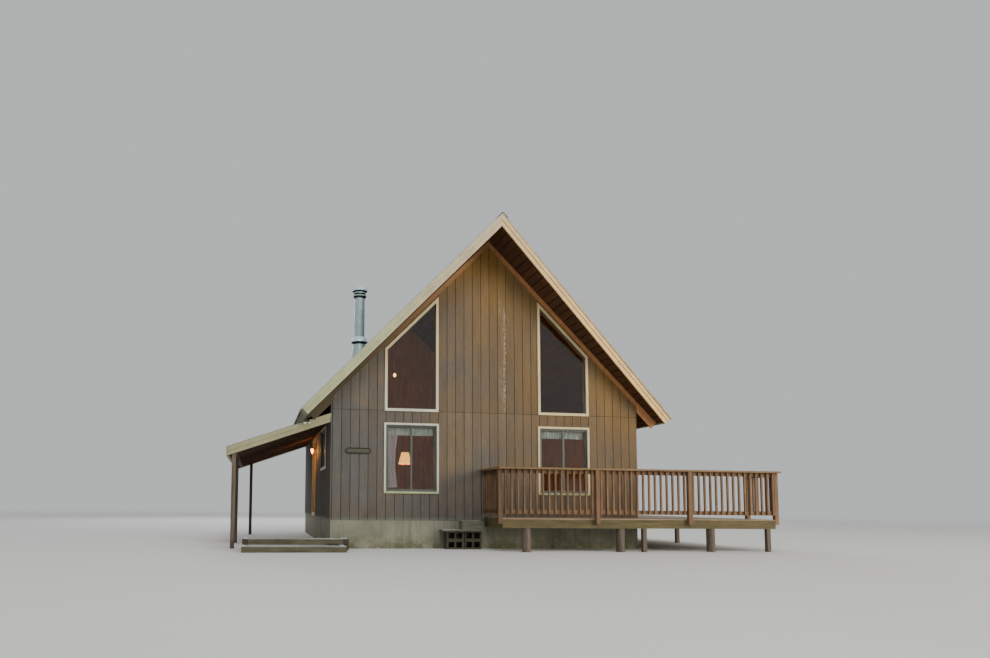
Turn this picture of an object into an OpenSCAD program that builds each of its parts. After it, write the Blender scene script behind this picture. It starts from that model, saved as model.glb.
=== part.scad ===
// A-frame cabin: a steep-roofed gable house with a prow roof edge, a side porch and a wrap-round deck.
// X runs along the front wall, with 0 under the ridge. Y runs from the front to the back.
// Z is up from the lowest ground that any leg, pier or step stands on.

/* [House] */
// Width of the house over the siding
house_w = 7350; // [6600:5:8200]
// Length of the house over the siding
house_l = 8534; // [7900:2:10400]
// Height of the siding's lower edge over the lowest ground
siding_z = 640; // [560:5:800]
// Thickness of the outer walls
wall_t = 140; // [110:5:200]
// Thickness of the foundation walls
foundation_t = 200; // [180:5:260]
// Distance that the siding stands proud of the foundation
siding_lip = 15; // [5:1:30]
// Thickness of the built floor
floor_t = 100; // [60:5:140]

/* [Roof] */
// Height of the roof's underside at the ridge, over the siding's lower edge
ridge_h = 6560; // [6200:10:6900]
// Thickness of the roof panels under the shingles
roof_t = 184; // [150:2:200]
// Thickness of the shingle layer
shingle_t = 20; // [12:1:30]
// Distance that the shingles reach past the boards at the edges
shingle_lip = 20; // [10:1:30]
// Distance that the eaves reach past the side walls
eave_reach = 510; // [440:5:600]
// Overhang of the roof over the front wall, at the ridge
prow_reach = 950; // [700:10:1100]
// Overhang of the roof over the front and back walls, at the eaves
rake_reach = 310; // [250:10:450]
// Depth of the wide rake board, square to the roof
rake_board_h = 184; // [180:2:200]
// Thickness of the wide rake board
rake_board_t = 38; // [25:1:50]
// Depth of the narrow board on the wide one
rake_strip_h = 89; // [60:1:110]
// Thickness of the narrow board
rake_strip_t = 19; // [12:1:30]
// Depth of the trim rafter against each gable wall, square to the roof
gable_trim_h = 89; // [70:1:140]
// Thickness of the trim rafter
gable_trim_t = 38; // [25:1:50]
// Depth of the trim rafter's tail past the side wall, square to the roof
tail_h = 180; // [150:5:230]
// Distance that the tail's end stays inside the eave's edge
tail_inset = 15; // [5:5:100]
// Width of each wing of the ridge cap
ridge_cap_w = 160; // [120:5:220]
// Thickness of the ridge cap
ridge_cap_t = 10; // [6:1:16]

/* [Windows] */
// Distance from the house's centre line to the middle of each gable window
window_x = 1828; // [1750:2:1950]
// Width of the trim round a lower gable window
low_window_w = 1270; // [1000:5:1400]
// Height of the trim round a lower gable window
low_window_h = 1600; // [1300:5:1700]
// Height of a lower window's trim over the siding's lower edge
low_window_z = 598; // [500:2:700]
// Width of the trim round an upper gable window
high_window_w = 1252; // [1000:2:1400]
// Gap between the trim rafter and an upper window's trim, square to the roof
head_gap = 40; // [5:1:60]
// Height of an upper window's trim over the siding's lower edge
high_window_z = 2470; // [2400:5:2560]
// Width of a side window's trim
side_window_w = 1190; // [900:5:1400]
// Height of a side window's trim
side_window_h = 1020; // [900:5:1200]
// Gap between the porch rafters and a side window's trim
side_head_gap = 6; // [5:1:60]
// Distance from the front wall's face to the near edge of a side window's trim
side_window_y = 1110; // [900:5:1800]
// Face width of the window trim
trim_w = 57; // [40:1:80]
// Thickness of the window trim
trim_t = 22; // [15:1:40]
// Face width of a sash bar
sash_w = 42; // [30:1:60]
// Depth of a sash
sash_t = 50; // [40:1:70]
// Face width of the stop round an upper window's glass
stop_w = 16; // [10:1:30]
// Thickness of the window glass
glass_t = 8; // [4:1:12]
// Depth of the sash behind the siding's face
sash_set = 12; // [5:1:30]

/* [Entry door] */
// Distance from the front wall's face to the near jamb
door_y = 4140; // [3900:5:4800]
// Clear width between the jambs
door_w = 915; // [800:5:1000]
// Clear height over the floor
door_h = 2030; // [1950:5:2150]
// Thickness of the door leaf
door_t = 44; // [38:1:50]
// Running gap round the leaf
door_gap = 5; // [5:0.5:8]
// Thickness of the jambs
jamb_t = 32; // [25:1:45]
// Width of the casing round the door
casing_w = 70; // [50:2:100]
// Gap between the door's casing and the porch rafters
door_head_gap = 10; // [5:1:60]
// Height of the lowest hinge over the floor, and of the highest under the head
hinge_inset = 250; // [180:5:320]
// Height of the knob over the floor
knob_h = 960; // [860:5:1060]
// Width of the door's stiles and rails
stile_w = 112; // [90:2:130]
// Radius of the hinge pins
pin_r = 4; // [3:0.5:6]
// Outer radius of the hinge knuckles
knuckle_r = 8; // [7.5:0.5:9]
// Length of one hinge knuckle
knuckle_h = 32; // [25:1:40]

/* [Chimney] */
// Distance from the front wall's face to the flue's axis
flue_y = 1600; // [1400:10:2400]
// Distance from the left wall's face to the flue's axis
flue_x = 850; // [700:5:1100]
// Radius of the flue pipe
flue_r = 130; // [100:5:150]
// Height of the cap's top over the roof at the flue's axis
flue_top = 1872; // [1500:2:2200]
// Radius of the cap's discs
cap_r = 192; // [170:2:220]
// Height of the rain cap
cap_h = 268; // [230:2:300]
// Radius of the storm collar
collar_r = 210; // [180:5:230]
// Height of the storm collar's lower edge over the roof at the flue's axis
collar_h = 442; // [400:2:560]

/* [Porch] */
// Reach of the porch roof from the left wall
porch_w = 2255; // [2000:10:2500]
// Length of the porch roof
porch_l = 6706; // [6100:2:7300]
// Height of the wall left clear between the porch roof and the main roof's underside
porch_drop = 465.5; // [450:0.5:560]
// Pitch of the porch roof in degrees
porch_pitch = 19.4; // [17:0.1:22]
// Depth of the porch's wide fascia board, square to its roof
porch_board_h = 184; // [170:2:200]
// Thickness of the porch roof's planks
porch_plank_t = 25; // [18:1:35]
// Depth of the porch rafters, square to the roof
porch_rafter_h = 130; // [110:2:140]
// Distance from the left wall to the outer face of the posts under the porch's beam
porch_post_x = 2170; // [1900:5:2250]
// Distance from the porch's front post to the middle one
mid_post_y = 2060; // [1800:10:3200]
// Distance from the left wall to the outer face of the post at the porch's back
back_post_x = 1865; // [1700:5:2100]
// Width of every square post
post_w = 89; // [75:1:110]

/* [Porch steps] */
// Left end of the upper step from the left wall's face
step_x = 1895; // [1700:5:2050]
// Width of the upper step
step_w = 2250; // [1900:10:2500]
// Depth of each step
step_d = 610; // [450:10:700]
// Height of one step
step_h = 122; // [100:2:140]
// Thickness of the step timbers
step_timber = 115; // [90:5:130]

/* [Deck] */
// Left end of the deck from the left wall's face
deck_x = 3565; // [3400:5:3700]
// Reach of the deck in front of the front wall
deck_d = 1200; // [1000:5:1500]
// Reach of the deck past the right wall
deck_side_w = 2635; // [2200:5:2800]
// Length of the side deck behind the front wall's face
deck_side_l = 4500; // [3600:10:5200]
// Height of the deck's floor over the siding's lower edge
deck_h = 80; // [60:5:110]
// Thickness of the deck boards
board_t = 25; // [20:1:38]
// Depth of the deck's joists and rims
joist_h = 184; // [140:2:200]
// Thickness of lumber such as joists, rails and caps
lumber_t = 38; // [32:1:45]
// Spacing of the joists
joist_step = 610; // [400:10:700]
// Height of the rail cap's top over the deck's floor
rail_h = 1090; // [950:5:1150]
// Width of the rail cap
cap_w = 150; // [130:2:160]
// Depth of the upper and lower rails
rail_d = 89; // [70:1:100]
// Gap between the deck's floor and the lower rail
rail_gap = 95; // [60:5:120]
// Side of a baluster
baluster_w = 38; // [30:1:45]
// Spacing of the balusters
baluster_step = 140; // [110:1:160]
// Radius of the round deck piers
pier_r = 90; // [75:5:120]
// Distance from the deck's left end to the first round pier
pier_x = 560; // [300:10:900]
// Spacing of the round piers
pier_step = 2155; // [1800:10:2300]
// Distance from the deck's left end to the square prop between the piers
prop_x = 3200; // [3050:10:3500]
// Distance from the deck's right edge to the square props under it
prop_inset = 130; // [0:10:300]
// Length of the right-hand return of the railing
return_l = 920; // [850:5:1150]

/* [Side step] */
// Left end of the plank step from the left wall's face
plank_x = 2500; // [2300:5:2555]
// Length of the plank step
plank_l = 910; // [900:5:980]
// Depth of the plank step
plank_d = 300; // [250:5:350]
// Height of one concrete block
block_h = 200; // [180:1:205]
// Length of one concrete block
block_l = 390; // [360:5:410]

/* [Fittings] */
// Length of the name board on the front wall
sign_l = 576; // [450:2:650]
// Height of the name board
sign_h = 134; // [90:2:150]
// Thickness of the name board
sign_t = 22; // [15:1:30]
// Height of the name board over the siding's lower edge
sign_z = 1478; // [1300:2:1600]
// Distance from the middle of the wall left of the window to the name board's middle
sign_shift = 16; // [-40:2:40]
// Height of the lantern's middle over the floor
lantern_h = 1700; // [1500:10:1950]
// Distance from the door's opening to the lantern's middle
lantern_gap = 260; // [180:5:400]
// Distance from the wall to the lantern's middle
lantern_reach = 115; // [95:5:160]

/* [Hidden] */
// Clearance between pieces that are let into each other
fit = 0.3;
// Width and thickness of a hinge's leaves
leaf_w = 40;
leaf_t = 3;
// Depth of the door's sunk panels
panel_deep = 8;
// Distance from the door's closing edge to the knob, and the radius of the knob's spindle
knob_set = 70;
spindle_r = 12;
// Clearance between a hinge's pin and the leaf's knuckles
pin_play = 0.1;
// Clearance between faces that lie on each other on a slope
seat = 0.2;
// Facets of round pieces
round_fn = 48;
// Small overlap that fuses pieces of one node
fuse = 1;
// Depth that cuts run past the faces they open
past = 20;

// Places along Y
front_y = -foundation_t / 2 - siding_lip;
back_y = front_y + house_l;
// Places along X
half_w = house_w / 2;
left_x = -half_w;
inner_x = half_w - wall_t;
// Front end of the porch's planks, behind its two-tier fascia
porch_y = front_y + lumber_t + rake_strip_t;
porch_end = porch_y + porch_l;
// Porch roof, set over the door, and the walls' height over it
floor_z = siding_z + floor_t;
door_top = floor_z + door_h;
porch_rise = tan(porch_pitch);
porch_slant = 1 / cos(porch_pitch);
porch_under = (porch_plank_t + porch_rafter_h) * porch_slant;
porch_z = door_top + casing_w + door_head_gap + porch_under + trim_t * porch_rise;
wall_top = porch_z + porch_drop;
// Main roof
ridge_z = siding_z + ridge_h;
rise = (ridge_z - wall_top) / half_w;
roof_pitch = atan(rise);
slant = 1 / cos(roof_pitch);
eave_x = half_w + eave_reach;
prow_slope = (prow_reach - rake_reach) / eave_x;
board_drop = rake_board_h - roof_t;
// Deck
deck_left = left_x + deck_x;
deck_right = half_w + deck_side_w;
deck_front = front_y - deck_d;
deck_back = front_y + deck_side_l;
deck_z = siding_z + deck_h;
joist_z = deck_z - board_t - joist_h;
cap_z = deck_z + rail_h - lumber_t;
post_foot = joist_z + joist_h / 2;
side_window_top = porch_top(trim_t) - porch_under - side_head_gap;
// Door
hinge_y = front_y + door_y + door_gap / 2;
hinge_x = -inner_x + knuckle_r + 2;
rough_y0 = front_y + door_y - jamb_t;
rough_y1 = front_y + door_y + door_w + jamb_t;
rough_top = door_top + jamb_t;
hinge_low = floor_z + hinge_inset;
hinge_high = door_top - hinge_inset - knuckle_h;
hinge_zs = [hinge_low, (hinge_low + hinge_high) / 2, hinge_high];
knob_z = floor_z + knob_h;
// Flue
flue_cx = left_x + flue_x;
flue_cy = front_y + flue_y;
flue_roof = ridge_z + flue_cx * rise + (roof_t + shingle_t) * slant;
cap_top = flue_roof + flue_top;
// Half the side of the flashing's base sheet, and the height and spread of its cone
sheet_half = 340;
sheet_t = 6;
cone_h = collar_h + sheet_half * rise;
cone_slope = 0.2;

// Extrudes a shape drawn in X and Z along Y
module along_y(y0, y1) {
    translate([0, y1, 0]) rotate([90, 0, 0]) linear_extrude(y1 - y0) children();
}

// Extrudes a shape drawn in Y and Z along X
module along_x(x0, x1) {
    translate([x0, 0, 0]) rotate([90, 0, 90]) linear_extrude(x1 - x0) children();
}

// Box given by its low and high corners
module block(low, high) {
    translate(low) cube(high - low);
}

// Places a copy as drawn and one mirrored across the ridge line
module both_sides() {
    children();
    mirror([1, 0, 0]) children();
}

// Height of the main roof's underside at a distance from the ridge line
function under_roof(x) = ridge_z - abs(x) * rise;

// Height of a wall's head at a distance from the ridge line
function wall_head(x) = under_roof(x) - seat;

// Point of the right-hand slope: a place along its underside in X, and a height square to it
function slope_point(x, d) = [x + d * sin(roof_pitch), ridge_z - x * rise + d * cos(roof_pitch)];

// Band of the right-hand roof slope between two heights above its underside
module slope_band(x0, x1, d0, d1) {
    polygon([slope_point(x0, d0), slope_point(x1, d0), slope_point(x1, d1), slope_point(x0, d1)]);
}

// The same band, run up to a plumb joint at the ridge
module ridge_band(x1, d0, d1) {
    polygon([[0, ridge_z + d0 * slant], slope_point(x1, d0), slope_point(x1, d1), [0, ridge_z + d1 * slant]]);
}

// Plan of the right-hand roof slope, with its prow edge set out by a distance
module roof_plan(out_front, out_back, reach) {
    polygon([
        [0, front_y - prow_reach - out_front],
        [reach, front_y - prow_reach - out_front + prow_slope * reach],
        [reach, back_y + rake_reach + out_back],
        [0, back_y + rake_reach + out_back]]);
}

// Plan of a strip along the prow edge, between two distances out from the roof panel
module prow_strip(out0, out1, reach) {
    polygon([
        [0, front_y - prow_reach - out0],
        [0, front_y - prow_reach - out1],
        [reach, front_y - prow_reach - out1 + prow_slope * reach],
        [reach, front_y - prow_reach - out0 + prow_slope * reach]]);
}

// Everything over the roof, wide enough to cut any of it
roof_far = half_w + 2 * eave_reach;
roof_y0 = front_y - 2 * prow_reach;
roof_y1 = back_y + 2 * prow_reach;

// Right-hand roof panel, with its front edge cut to the prow
module roof_panel(d0, d1, out_front, out_back, out_eave) {
    intersection() {
        along_y(roof_y0, roof_y1) ridge_band(eave_x + out_eave, d0, d1);
        translate([0, 0, siding_z])
            linear_extrude(ridge_h * 2) roof_plan(out_front, out_back, roof_far);
    }
}

// Rake boards on the right-hand prow edge: a wide board with a narrow one on its upper half
module prow_boards() {
    board_x = eave_x + rake_board_t * cos(roof_pitch);
    for (tier = [[-board_drop, roof_t, seat, rake_board_t],
                 [roof_t - rake_strip_h, roof_t, rake_board_t - fuse, rake_board_t + rake_strip_t]])
        intersection() {
            along_y(roof_y0, roof_y1) ridge_band(board_x, tier[0], tier[1]);
            translate([0, 0, siding_z])
                linear_extrude(ridge_h * 2) prow_strip(tier[2], tier[3], roof_far);
        }
}

// Rake boards on the right-hand slope at the back, where the edge is straight
module back_boards() {
    board_x = eave_x + rake_board_t * cos(roof_pitch);
    edge_y = back_y + rake_reach;
    along_y(edge_y, edge_y + rake_board_t) ridge_band(board_x, -board_drop, roof_t);
    along_y(edge_y + rake_board_t - fuse, edge_y + rake_board_t + rake_strip_t)
        ridge_band(board_x, roof_t - rake_strip_h, roof_t);
}

// Board along the right-hand eave, square to the slope
module eave_board() {
    board_x = eave_x + rake_board_t * cos(roof_pitch);
    intersection() {
        along_y(roof_y0, roof_y1) slope_band(eave_x + seat, board_x, -board_drop, roof_t);
        translate([0, 0, siding_z / 2]) linear_extrude(ridge_h) polygon([
            [half_w, front_y - prow_reach + prow_slope * half_w],
            [roof_far, front_y - prow_reach + prow_slope * roof_far],
            [roof_far, back_y + rake_reach],
            [half_w, back_y + rake_reach]]);
    }
}

// Trim rafter against a gable wall on the right, with its deeper tail past the side wall
module trim_rafter(y0, y1) {
    tail_x = eave_x - tail_inset;
    along_y(y0, y1) {
        ridge_band(tail_x, -gable_trim_h, -seat);
        polygon([[half_w, wall_head(half_w)], [half_w, under_roof(half_w) - tail_h * slant],
            slope_point(tail_x, -tail_h), slope_point(tail_x, -seat)]);
    }
}

// Outline of a lower gable window, inset by a distance
module low_window(inset) {
    translate([window_x - low_window_w / 2 + inset, siding_z + low_window_z + inset])
        square([low_window_w - 2 * inset, low_window_h - 2 * inset]);
}

// Outline of an upper gable window, whose head follows the roof, inset by a distance
module high_window(inset) {
    x0 = window_x + high_window_w / 2 - inset;
    x1 = window_x - high_window_w / 2 + inset;
    z0 = siding_z + high_window_z + inset;
    drop = (gable_trim_h + head_gap + inset) * slant;
    polygon([[x0, z0], [x1, z0], [x1, under_roof(x1) - drop], [x0, under_roof(x0) - drop]]);
}

// Outline of a side window in Y and Z, inset by a distance
module side_window(inset) {
    translate([front_y + side_window_y + inset, side_window_top - side_window_h + inset])
        square([side_window_w - 2 * inset, side_window_h - 2 * inset]);
}

// Gable wall with its four window openings
module gable_wall(y0, y1) {
    difference() {
        along_y(y0, y1) polygon([[-half_w, siding_z], [half_w, siding_z],
            [half_w, wall_head(half_w)], [0, wall_head(0)], [-half_w, wall_head(half_w)]]);
        along_y(y0 - past, y1 + past) both_sides() {
            low_window(trim_w);
            high_window(trim_w);
        }
    }
}

// Section of a side wall on the right, with its head cut to the roof
module side_section(z0) {
    polygon([[inner_x, z0], [half_w, z0], [half_w, wall_head(half_w)], [inner_x, wall_head(inner_x)]]);
}

// Trim round the four windows of a gable wall
module gable_trims(y0, y1) {
    along_y(y0, y1) both_sides() {
        difference() {
            low_window(0);
            low_window(trim_w);
        }
        difference() {
            high_window(0);
            high_window(trim_w);
        }
    }
}

// Sliding sash of a lower window: a frame with a meeting bar in the middle
module low_sash() {
    difference() {
        low_window(trim_w + fit);
        low_window(trim_w + sash_w);
    }
    translate([window_x - sash_w / 2, siding_z + low_window_z + trim_w + fit])
        square([sash_w, low_window_h - 2 * trim_w - 2 * fit]);
}

// Stop round the fixed glass of an upper window
module high_stop() {
    difference() {
        high_window(trim_w + fit);
        high_window(trim_w + stop_w);
    }
}

// Sliding sash of a side window, in Y and Z
module side_sash() {
    difference() {
        side_window(trim_w + fit);
        side_window(trim_w + sash_w);
    }
    translate([front_y + side_window_y + side_window_w / 2 - sash_w / 2,
               side_window_top - side_window_h + trim_w + fit])
        square([sash_w, side_window_h - 2 * trim_w - 2 * fit]);
}

// Panes of a gable wall on the right of the ridge line
module gable_panes() {
    difference() {
        low_window(trim_w + sash_w + fit);
        translate([window_x - sash_w / 2 - fit, siding_z]) square([sash_w + 2 * fit, ridge_h]);
    }
    high_window(trim_w + stop_w + fit);
}

// Panes of a side window, in Y and Z
module side_panes() {
    difference() {
        side_window(trim_w + sash_w + fit);
        translate([front_y + side_window_y + side_window_w / 2 - sash_w / 2 - fit, siding_z])
            square([sash_w + 2 * fit, ridge_h]);
    }
}

// Line of the porch roof's upper face at a distance from the left wall
function porch_top(d) = porch_z - d * porch_rise;

// Band of the porch roof between two depths under its upper face, in X and Z
module porch_band(d0, d1, t0, t1) {
    polygon([
        [left_x - d0, porch_top(d0) - t0 * porch_slant],
        [left_x - d1, porch_top(d1) - t0 * porch_slant],
        [left_x - d1, porch_top(d1) - t1 * porch_slant],
        [left_x - d0, porch_top(d0) - t1 * porch_slant]]);
}

// Row of balusters along X, fixed to the outside of the rails
module baluster_row(x0, x1, y) {
    count = floor((x1 - x0 - baluster_w) / baluster_step);
    margin = (x1 - x0 - count * baluster_step) / 2;
    for (i = [0 : count])
        block([x0 + margin + i * baluster_step - baluster_w / 2, y, deck_z + rail_gap],
              [x0 + margin + i * baluster_step + baluster_w / 2, y + baluster_w + fuse, cap_z]);
}

// Upper and lower rails along X with balusters on their outside
module rail_panel(length, gaps) {
    for (z = [deck_z + rail_gap, cap_z - rail_d])
        block([0, 0, z], [length, lumber_t, z + rail_d]);
    for (g = gaps) baluster_row(g[0], g[1], -baluster_w);
}

module foundation() {
    color("darkgray") difference() {
        block([-half_w + siding_lip, front_y + siding_lip, 0],
              [half_w - siding_lip, back_y - siding_lip, siding_z]);
        block([-half_w + siding_lip + foundation_t, front_y + siding_lip + foundation_t, -past],
              [half_w - siding_lip - foundation_t, back_y - siding_lip - foundation_t, siding_z + past]);
    }
}

module floor() {
    color("peru") block([-inner_x, front_y + wall_t, siding_z], [inner_x, back_y - wall_t, floor_z]);
}

module front_wall() {
    color("saddlebrown") gable_wall(front_y, front_y + wall_t);
}

module back_wall() {
    color("saddlebrown") gable_wall(back_y - wall_t, back_y);
}

module left_wall_front() {
    color("sienna") difference() {
        mirror([1, 0, 0]) along_y(front_y + wall_t, rough_y0) side_section(siding_z);
        along_x(-half_w - past, -inner_x + past) side_window(trim_w);
    }
}

module left_wall_back() {
    color("sienna") mirror([1, 0, 0]) along_y(rough_y1, back_y - wall_t) side_section(siding_z);
}

module left_wall_over_door() {
    color("sienna") mirror([1, 0, 0]) along_y(rough_y0, rough_y1) side_section(rough_top);
}

module right_wall() {
    color("sienna") difference() {
        along_y(front_y + wall_t, back_y - wall_t) side_section(siding_z);
        along_x(inner_x - past, half_w + past) side_window(trim_w);
    }
}

module roof_left() {
    color("darkslategray") difference() {
        mirror([1, 0, 0]) roof_panel(0, roof_t, 0, 0, 0);
        translate([flue_cx, flue_cy, siding_z]) cylinder(h = ridge_h, r = flue_r + fit, $fn = round_fn);
    }
}

module roof_right() {
    color("darkslategray") roof_panel(0, roof_t, 0, 0, 0);
}

module shingle_layer() {
    roof_panel(roof_t + seat, roof_t + shingle_t, rake_board_t + rake_strip_t + shingle_lip,
        rake_board_t + rake_strip_t + shingle_lip, (rake_board_t + shingle_lip) * cos(roof_pitch));
}

module shingles_left() {
    color("dimgray") difference() {
        mirror([1, 0, 0]) shingle_layer();
        translate([flue_cx, flue_cy, siding_z]) cylinder(h = ridge_h, r = flue_r + fit, $fn = round_fn);
    }
}

module shingles_right() {
    color("dimgray") shingle_layer();
}

module ridge_cap() {
    low = roof_t + shingle_t + seat;
    out = rake_board_t + rake_strip_t + shingle_lip;
    color("gray") intersection() {
        along_y(roof_y0, roof_y1) both_sides()
            ridge_band(ridge_cap_w * cos(roof_pitch) - low * sin(roof_pitch), low, low + ridge_cap_t);
        translate([0, 0, siding_z]) linear_extrude(ridge_h * 2) both_sides() roof_plan(out, out, roof_far);
    }
}

module rake_board_front_left() {
    color("tan") mirror([1, 0, 0]) prow_boards();
}

module rake_board_front_right() {
    color("tan") prow_boards();
}

module rake_board_back_left() {
    color("tan") mirror([1, 0, 0]) back_boards();
}

module rake_board_back_right() {
    color("tan") back_boards();
}

module eave_boards() {
    color("rosybrown") both_sides() eave_board();
}

module gable_trim_front() {
    color("brown") both_sides() trim_rafter(front_y - gable_trim_t, front_y);
}

module gable_trim_back() {
    color("brown") both_sides() trim_rafter(back_y, back_y + gable_trim_t);
}

module front_window_trim() {
    color("wheat") gable_trims(front_y - trim_t, front_y);
}

module back_window_trim() {
    color("wheat") gable_trims(back_y, back_y + trim_t);
}

module side_window_trim() {
    color("wheat") both_sides() along_x(half_w, half_w + trim_t) difference() {
        side_window(0);
        side_window(trim_w);
    }
}

module window_sashes() {
    color("darkseagreen") {
        for (y = [front_y + sash_set, back_y - sash_set - sash_t])
            along_y(y, y + sash_t) both_sides() {
                low_sash();
                high_stop();
            }
        both_sides() along_x(half_w - sash_set - sash_t, half_w - sash_set) side_sash();
    }
}

module window_glass() {
    mid = sash_set + (sash_t - glass_t) / 2;
    color("lightblue", 0.4) {
        for (y = [front_y + mid, back_y - mid - glass_t])
            along_y(y, y + glass_t) both_sides() gable_panes();
        both_sides() along_x(half_w - mid - glass_t, half_w - mid) side_panes();
    }
}

// Leaf of the entry door, hung on the near jamb, with six panels sunk in its outer face
module entry_door() {
    y0 = front_y + door_y + door_gap;
    y1 = front_y + door_y + door_w - door_gap;
    z0 = floor_z + 2 * door_gap;
    z1 = door_top - door_gap;
    panel_w = (y1 - y0 - 3 * stile_w) / 2;
    panel_h = (z1 - z0 - 4 * stile_w) / 3;
    color("sandybrown") difference() {
        union() {
            block([-inner_x - door_t, y0, z0], [-inner_x, y1, z1]);
            for (z = hinge_zs) {
                translate([hinge_x, hinge_y, z]) cylinder(h = knuckle_h, r = knuckle_r, $fn = round_fn);
                block([-inner_x - fuse, hinge_y + knuckle_r / 2, z],
                      [-inner_x + leaf_t, hinge_y + leaf_w, z + knuckle_h]);
            }
        }
        for (z = hinge_zs)
            translate([hinge_x, hinge_y, z - past])
                cylinder(h = knuckle_h + 2 * past, r = pin_r + pin_play, $fn = round_fn);
        translate([-inner_x - door_t - past, y1 - knob_set, knob_z]) rotate([0, 90, 0])
            cylinder(h = door_t + 2 * past, r = spindle_r + fit, $fn = round_fn);
        for (i = [0, 1], j = [0, 1, 2])
            translate([-inner_x - door_t - past, y0 + stile_w + i * (panel_w + stile_w),
                       z0 + stile_w + j * (panel_h + stile_w)])
                cube([past + panel_deep, panel_w, panel_h]);
    }
}

// Jambs, head, sill, stops and outer casing of the doorway
module door_frame() {
    y0 = front_y + door_y;
    y1 = y0 + door_w;
    stop_x = -inner_x - door_t - door_gap;
    color("burlywood") {
        difference() {
            block([-half_w, rough_y0 + fit, floor_z], [-inner_x, rough_y1 - fit, rough_top - fit]);
            block([-half_w - past, y0, floor_z - past], [-inner_x + past, y1, door_top]);
        }
        difference() {
            block([stop_x - 30, y0 - fuse, floor_z], [stop_x, y1 + fuse, door_top + fuse]);
            block([stop_x - 30 - past, y0 + 12, floor_z - past], [stop_x + past, y1 - 12, door_top - 12]);
        }
        difference() {
            block([-half_w - trim_t, y0 - casing_w, siding_z], [-half_w, y1 + casing_w, door_top + casing_w]);
            block([-half_w - trim_t - past, y0, siding_z - past], [-half_w + past, y1, door_top]);
        }
        block([-half_w - trim_t, y0 - fuse, siding_z], [-half_w + fuse, y1 + fuse, floor_z]);
        block([-half_w, rough_y0 + fit, siding_z], [-inner_x, rough_y1 - fit, floor_z + fuse]);
    }
}

module door_hinges() {
    color("goldenrod") for (z = hinge_zs) {
        for (dz = [-knuckle_h - fit, knuckle_h + fit]) {
            translate([hinge_x, hinge_y, z + dz]) cylinder(h = knuckle_h, r = knuckle_r, $fn = round_fn);
            block([-inner_x, hinge_y - leaf_w, z + dz], [-inner_x + leaf_t, hinge_y, z + dz + knuckle_h]);
        }
        translate([hinge_x, hinge_y, z - knuckle_h]) cylinder(h = 3 * knuckle_h, r = pin_r, $fn = round_fn);
    }
}

module door_knob() {
    y = front_y + door_y + door_w - door_gap - knob_set;
    color("gold") translate([-inner_x - door_t / 2, y, knob_z]) rotate([0, 90, 0]) {
        translate([0, 0, -door_t / 2 - 50]) cylinder(h = door_t + 100, r = spindle_r, $fn = round_fn);
        for (s = [-1, 1]) {
            translate([0, 0, s * (door_t / 2 + 52)]) sphere(r = 27, $fn = round_fn);
            translate([0, 0, s * (door_t / 2 + 4 + fit) - 4]) cylinder(h = 8, r = 32, $fn = round_fn);
        }
    }
}

// Wall lantern beside the door: a back plate, an arm and a tapered glazed body with a cap
module porch_lantern() {
    y = front_y + door_y - lantern_gap;
    z = floor_z + lantern_h;
    color("black") {
        block([left_x - 18, y - 50, z - 98], [left_x, y + 50, z + 117]);
        block([left_x - lantern_reach, y - 10, z + 52], [left_x - 18 + fuse, y + 10, z + 70]);
        translate([left_x - lantern_reach, y, z]) {
            translate([0, 0, -80]) cylinder(h = 150, r1 = 36, r2 = 52, $fn = 8);
            translate([0, 0, 69]) cylinder(h = 48, r1 = 66, r2 = 12, $fn = 8);
            translate([0, 0, -98]) cylinder(h = 19, r = 26, $fn = 8);
        }
    }
}

// Twin floodlight on an arm from the end of the left tail: a box, an arm and two heads with bulbs
module eave_floodlight() {
    end_x = eave_x - tail_inset;
    joint = slope_point(end_x + 85, -38);
    color("silver") {
        mirror([1, 0, 0]) {
            along_y(front_y - 70, front_y - 5) slope_band(end_x + seat, end_x + 40, -75, -8);
            along_y(front_y - 50, front_y - 30) slope_band(end_x + 40 - fuse, end_x + 95, -50, -26);
        }
        for (turn = [20, -35])
            translate([-joint[0], front_y - 40, joint[1]]) rotate([0, turn, 0]) rotate([-25, 0, 0]) {
                translate([0, 0, -62]) cylinder(h = 62, r = 11, $fn = round_fn);
                translate([0, 0, -120]) cylinder(h = 60, r1 = 32, r2 = 24, $fn = round_fn);
                translate([0, 0, -120]) sphere(r = 30, $fn = round_fn);
            }
    }
}

module sign_board() {
    mid = (left_x - window_x - low_window_w / 2) / 2 + sign_shift;
    z = siding_z + sign_z;
    color("dimgray") block([mid - sign_l / 2, front_y - sign_t, z], [mid + sign_l / 2, front_y, z + sign_h]);
}

module flue_pipe() {
    foot_z = under_roof(flue_cx) - 60;
    color("lightsteelblue") translate([flue_cx, flue_cy, 0]) difference() {
        translate([0, 0, foot_z - flue_r])
            cylinder(h = cap_top - cap_h + 40 - foot_z + flue_r, r = flue_r, $fn = round_fn);
        translate([0, 0, foot_z - flue_r - past]) cylinder(h = cap_top, r = flue_r - 25, $fn = round_fn);
    }
}

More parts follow.
